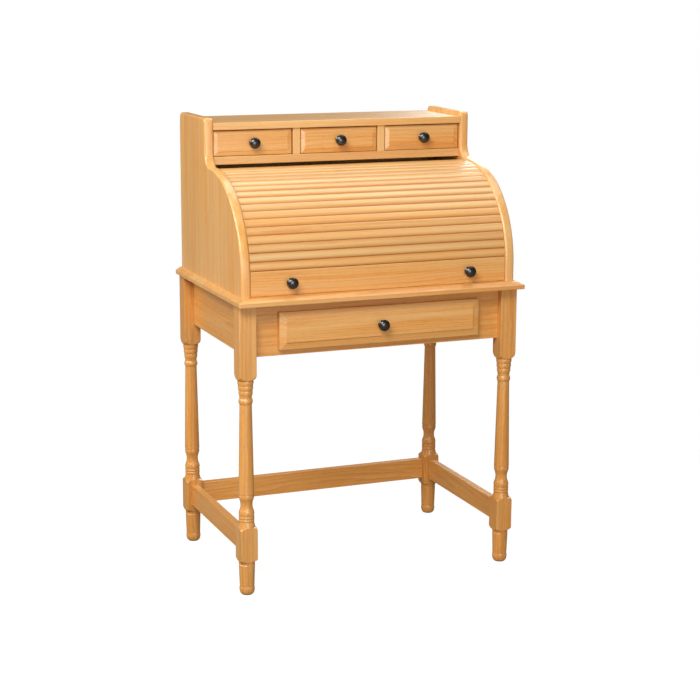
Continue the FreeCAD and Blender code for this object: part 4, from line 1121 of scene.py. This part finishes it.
class DESK_OT_fixings(bpy.types.Operator):
    """Give the blocks, runners, bottoms and screws, whose shapes stay as imported, their finishes"""
    bl_idname = "desk.fixings"
    bl_label = "Fixings"

    def execute(self, context):
        for finish, nodes in KEPT.items():
            for node in nodes:
                for slot in NODES[node].material_slots:
                    slot.material = finish_of(finish)
        return {"FINISHED"}


# Stage

FLOOR_REACH, FLOOR_LINES = 6, 5
LAMPS = {
    # where each lamp stands, where it looks, and how wide and tall it is
    "key": ((-1.9, -2.3, 3.0), (0, 0, 0.75), (1.8, 1.2)),
    "fill": ((-0.3, -3.7, 1.2), (0, 0, 0.75), (1.6, 1.4)),
    "top": ((0.9, 0.3, 3.2), (0.8, 0.4, 1.0), (1.2, 2.6)),
    "side": ((-2.8, 0.3, 2.5), (-0.3, 0, 0.8), (1.4, 1.4)),
    "back": ((2.3, 2.6, 2.7), (0, 0, 0.6), (2.0, 1.6)),
}


class DESK_OT_stage(bpy.types.Operator):
    """Make the floor, the soft studio light and the camera"""
    bl_idname = "desk.stage"
    bl_label = "Stage"

    def execute(self, context):
        context.scene.view_settings.view_transform = "Standard"
        self.add_floor()
        self.add_sky()
        for name, facts in LAMPS.items():
            self.add_lamp(name, *facts)
        self.add_camera(studio())
        return {"FINISHED"}

    def add_floor(self):
        reach = np.linspace(-FLOOR_REACH, FLOOR_REACH, FLOOR_LINES)
        x, y = np.meshgrid(reach, reach)
        mesh = bpy.data.meshes.new("floor")
        points = np.stack([x, y, np.zeros_like(x)], -1).reshape(-1, 3)
        mesh.from_pydata(points.tolist(), [], grid_quads(*x.shape, closed=False).tolist())
        mesh.materials.append(finish_of("floor"))
        plane = add_object("floor", mesh)

    def add_sky(self):
        """Even, warm light from all round, which the camera sees as plain white."""
        world = bpy.data.worlds.new("sky")
        bpy.context.scene.world = world
        r = Recipe(world)
        soft = r.light("Background", colours().sky, studio().sky)
        white = r.light("Background", WHITE, 1.0)
        both = r.blended(r.node("LightPath")["Is Camera Ray"], soft, white)
        r.ends_in(both, "Background", "World Output")

    def add_lamp(self, name, place, aim, extent):
        """Rectangular soft lamp that looks at a point."""
        data = bpy.data.lights.new(name, "AREA")
        data.shape = "RECTANGLE"
        data.size, data.size_y = extent
        data.energy = getattr(studio(), name)
        lamp = add_object(name, data)
        lamp.location = place
        lamp.rotation_euler = (Vector(aim) - Vector(place)).to_track_quat("-Z", "Y").to_euler()

    def add_camera(self, view):
        """Camera from its place, yaw, pitch and roll; the shift is the photograph's own centre."""
        data = bpy.data.cameras.new("camera")
        data.lens = view.lens
        data.shift_x, data.shift_y = view.shift
        camera = add_object("camera", data)
        sin, cos = math.sin, math.cos
        level = cos(view.pitch)
        ahead = Vector((sin(view.yaw) * level, cos(view.yaw) * level, -sin(view.pitch)))
        right = Vector((cos(view.yaw), -sin(view.yaw), 0))
        up = right.cross(ahead)
        over = right * cos(view.roll) + up * sin(view.roll)
        up = up * cos(view.roll) - right * sin(view.roll)
        turn = Matrix((over, up, -ahead)).transposed()
        camera.matrix_world = Matrix.LocRotScale(Vector(view.place), turn, None)
        bpy.context.scene.camera = camera


OPERATORS = (DESK_OT_legs, DESK_OT_rails, DESK_OT_board, DESK_OT_panels, DESK_OT_gallery, DESK_OT_tambour,
             DESK_OT_main_drawer, DESK_OT_small_drawers, DESK_OT_knobs, DESK_OT_fixings, DESK_OT_stage)
GROUPS = {"desk_sizes": DeskSizes, "desk_colours": DeskColours, "desk_studio": DeskStudio}


class DESK_PT_sidebar(bpy.types.Panel):
    """Lists the desk's pieces and what can be changed"""
    bl_idname = "DESK_PT_sidebar"
    bl_label = "Roll-top desk"
    bl_space_type = "VIEW_3D"
    bl_region_type = "UI"
    bl_category = "Roll-top desk"

    def draw(self, context):
        for operator in OPERATORS:
            self.layout.operator(operator.bl_idname)
        for name, group in GROUPS.items():
            column = self.layout.column()
            for key in group.__annotations__:
                column.prop(getattr(context.scene, name), key)


def register():
    for group in GROUPS.values():
        bpy.utils.register_class(group)
    for name, group in GROUPS.items():
        setattr(bpy.types.Scene, name, bpy.props.PointerProperty(type=group))
    for kind in OPERATORS + (DESK_PT_sidebar,):
        bpy.utils.register_class(kind)


def unregister():
    for kind in (DESK_PT_sidebar,) + OPERATORS[::-1]:
        bpy.utils.unregister_class(kind)
    for name in GROUPS:
        delattr(bpy.types.Scene, name)
    for group in GROUPS.values():
        bpy.utils.unregister_class(group)


def main():
    register()
    for operator in OPERATORS:
        group, name = operator.bl_idname.split(".")
        getattr(getattr(bpy.ops, group), name)()


if __name__ == "__main__":
    main()
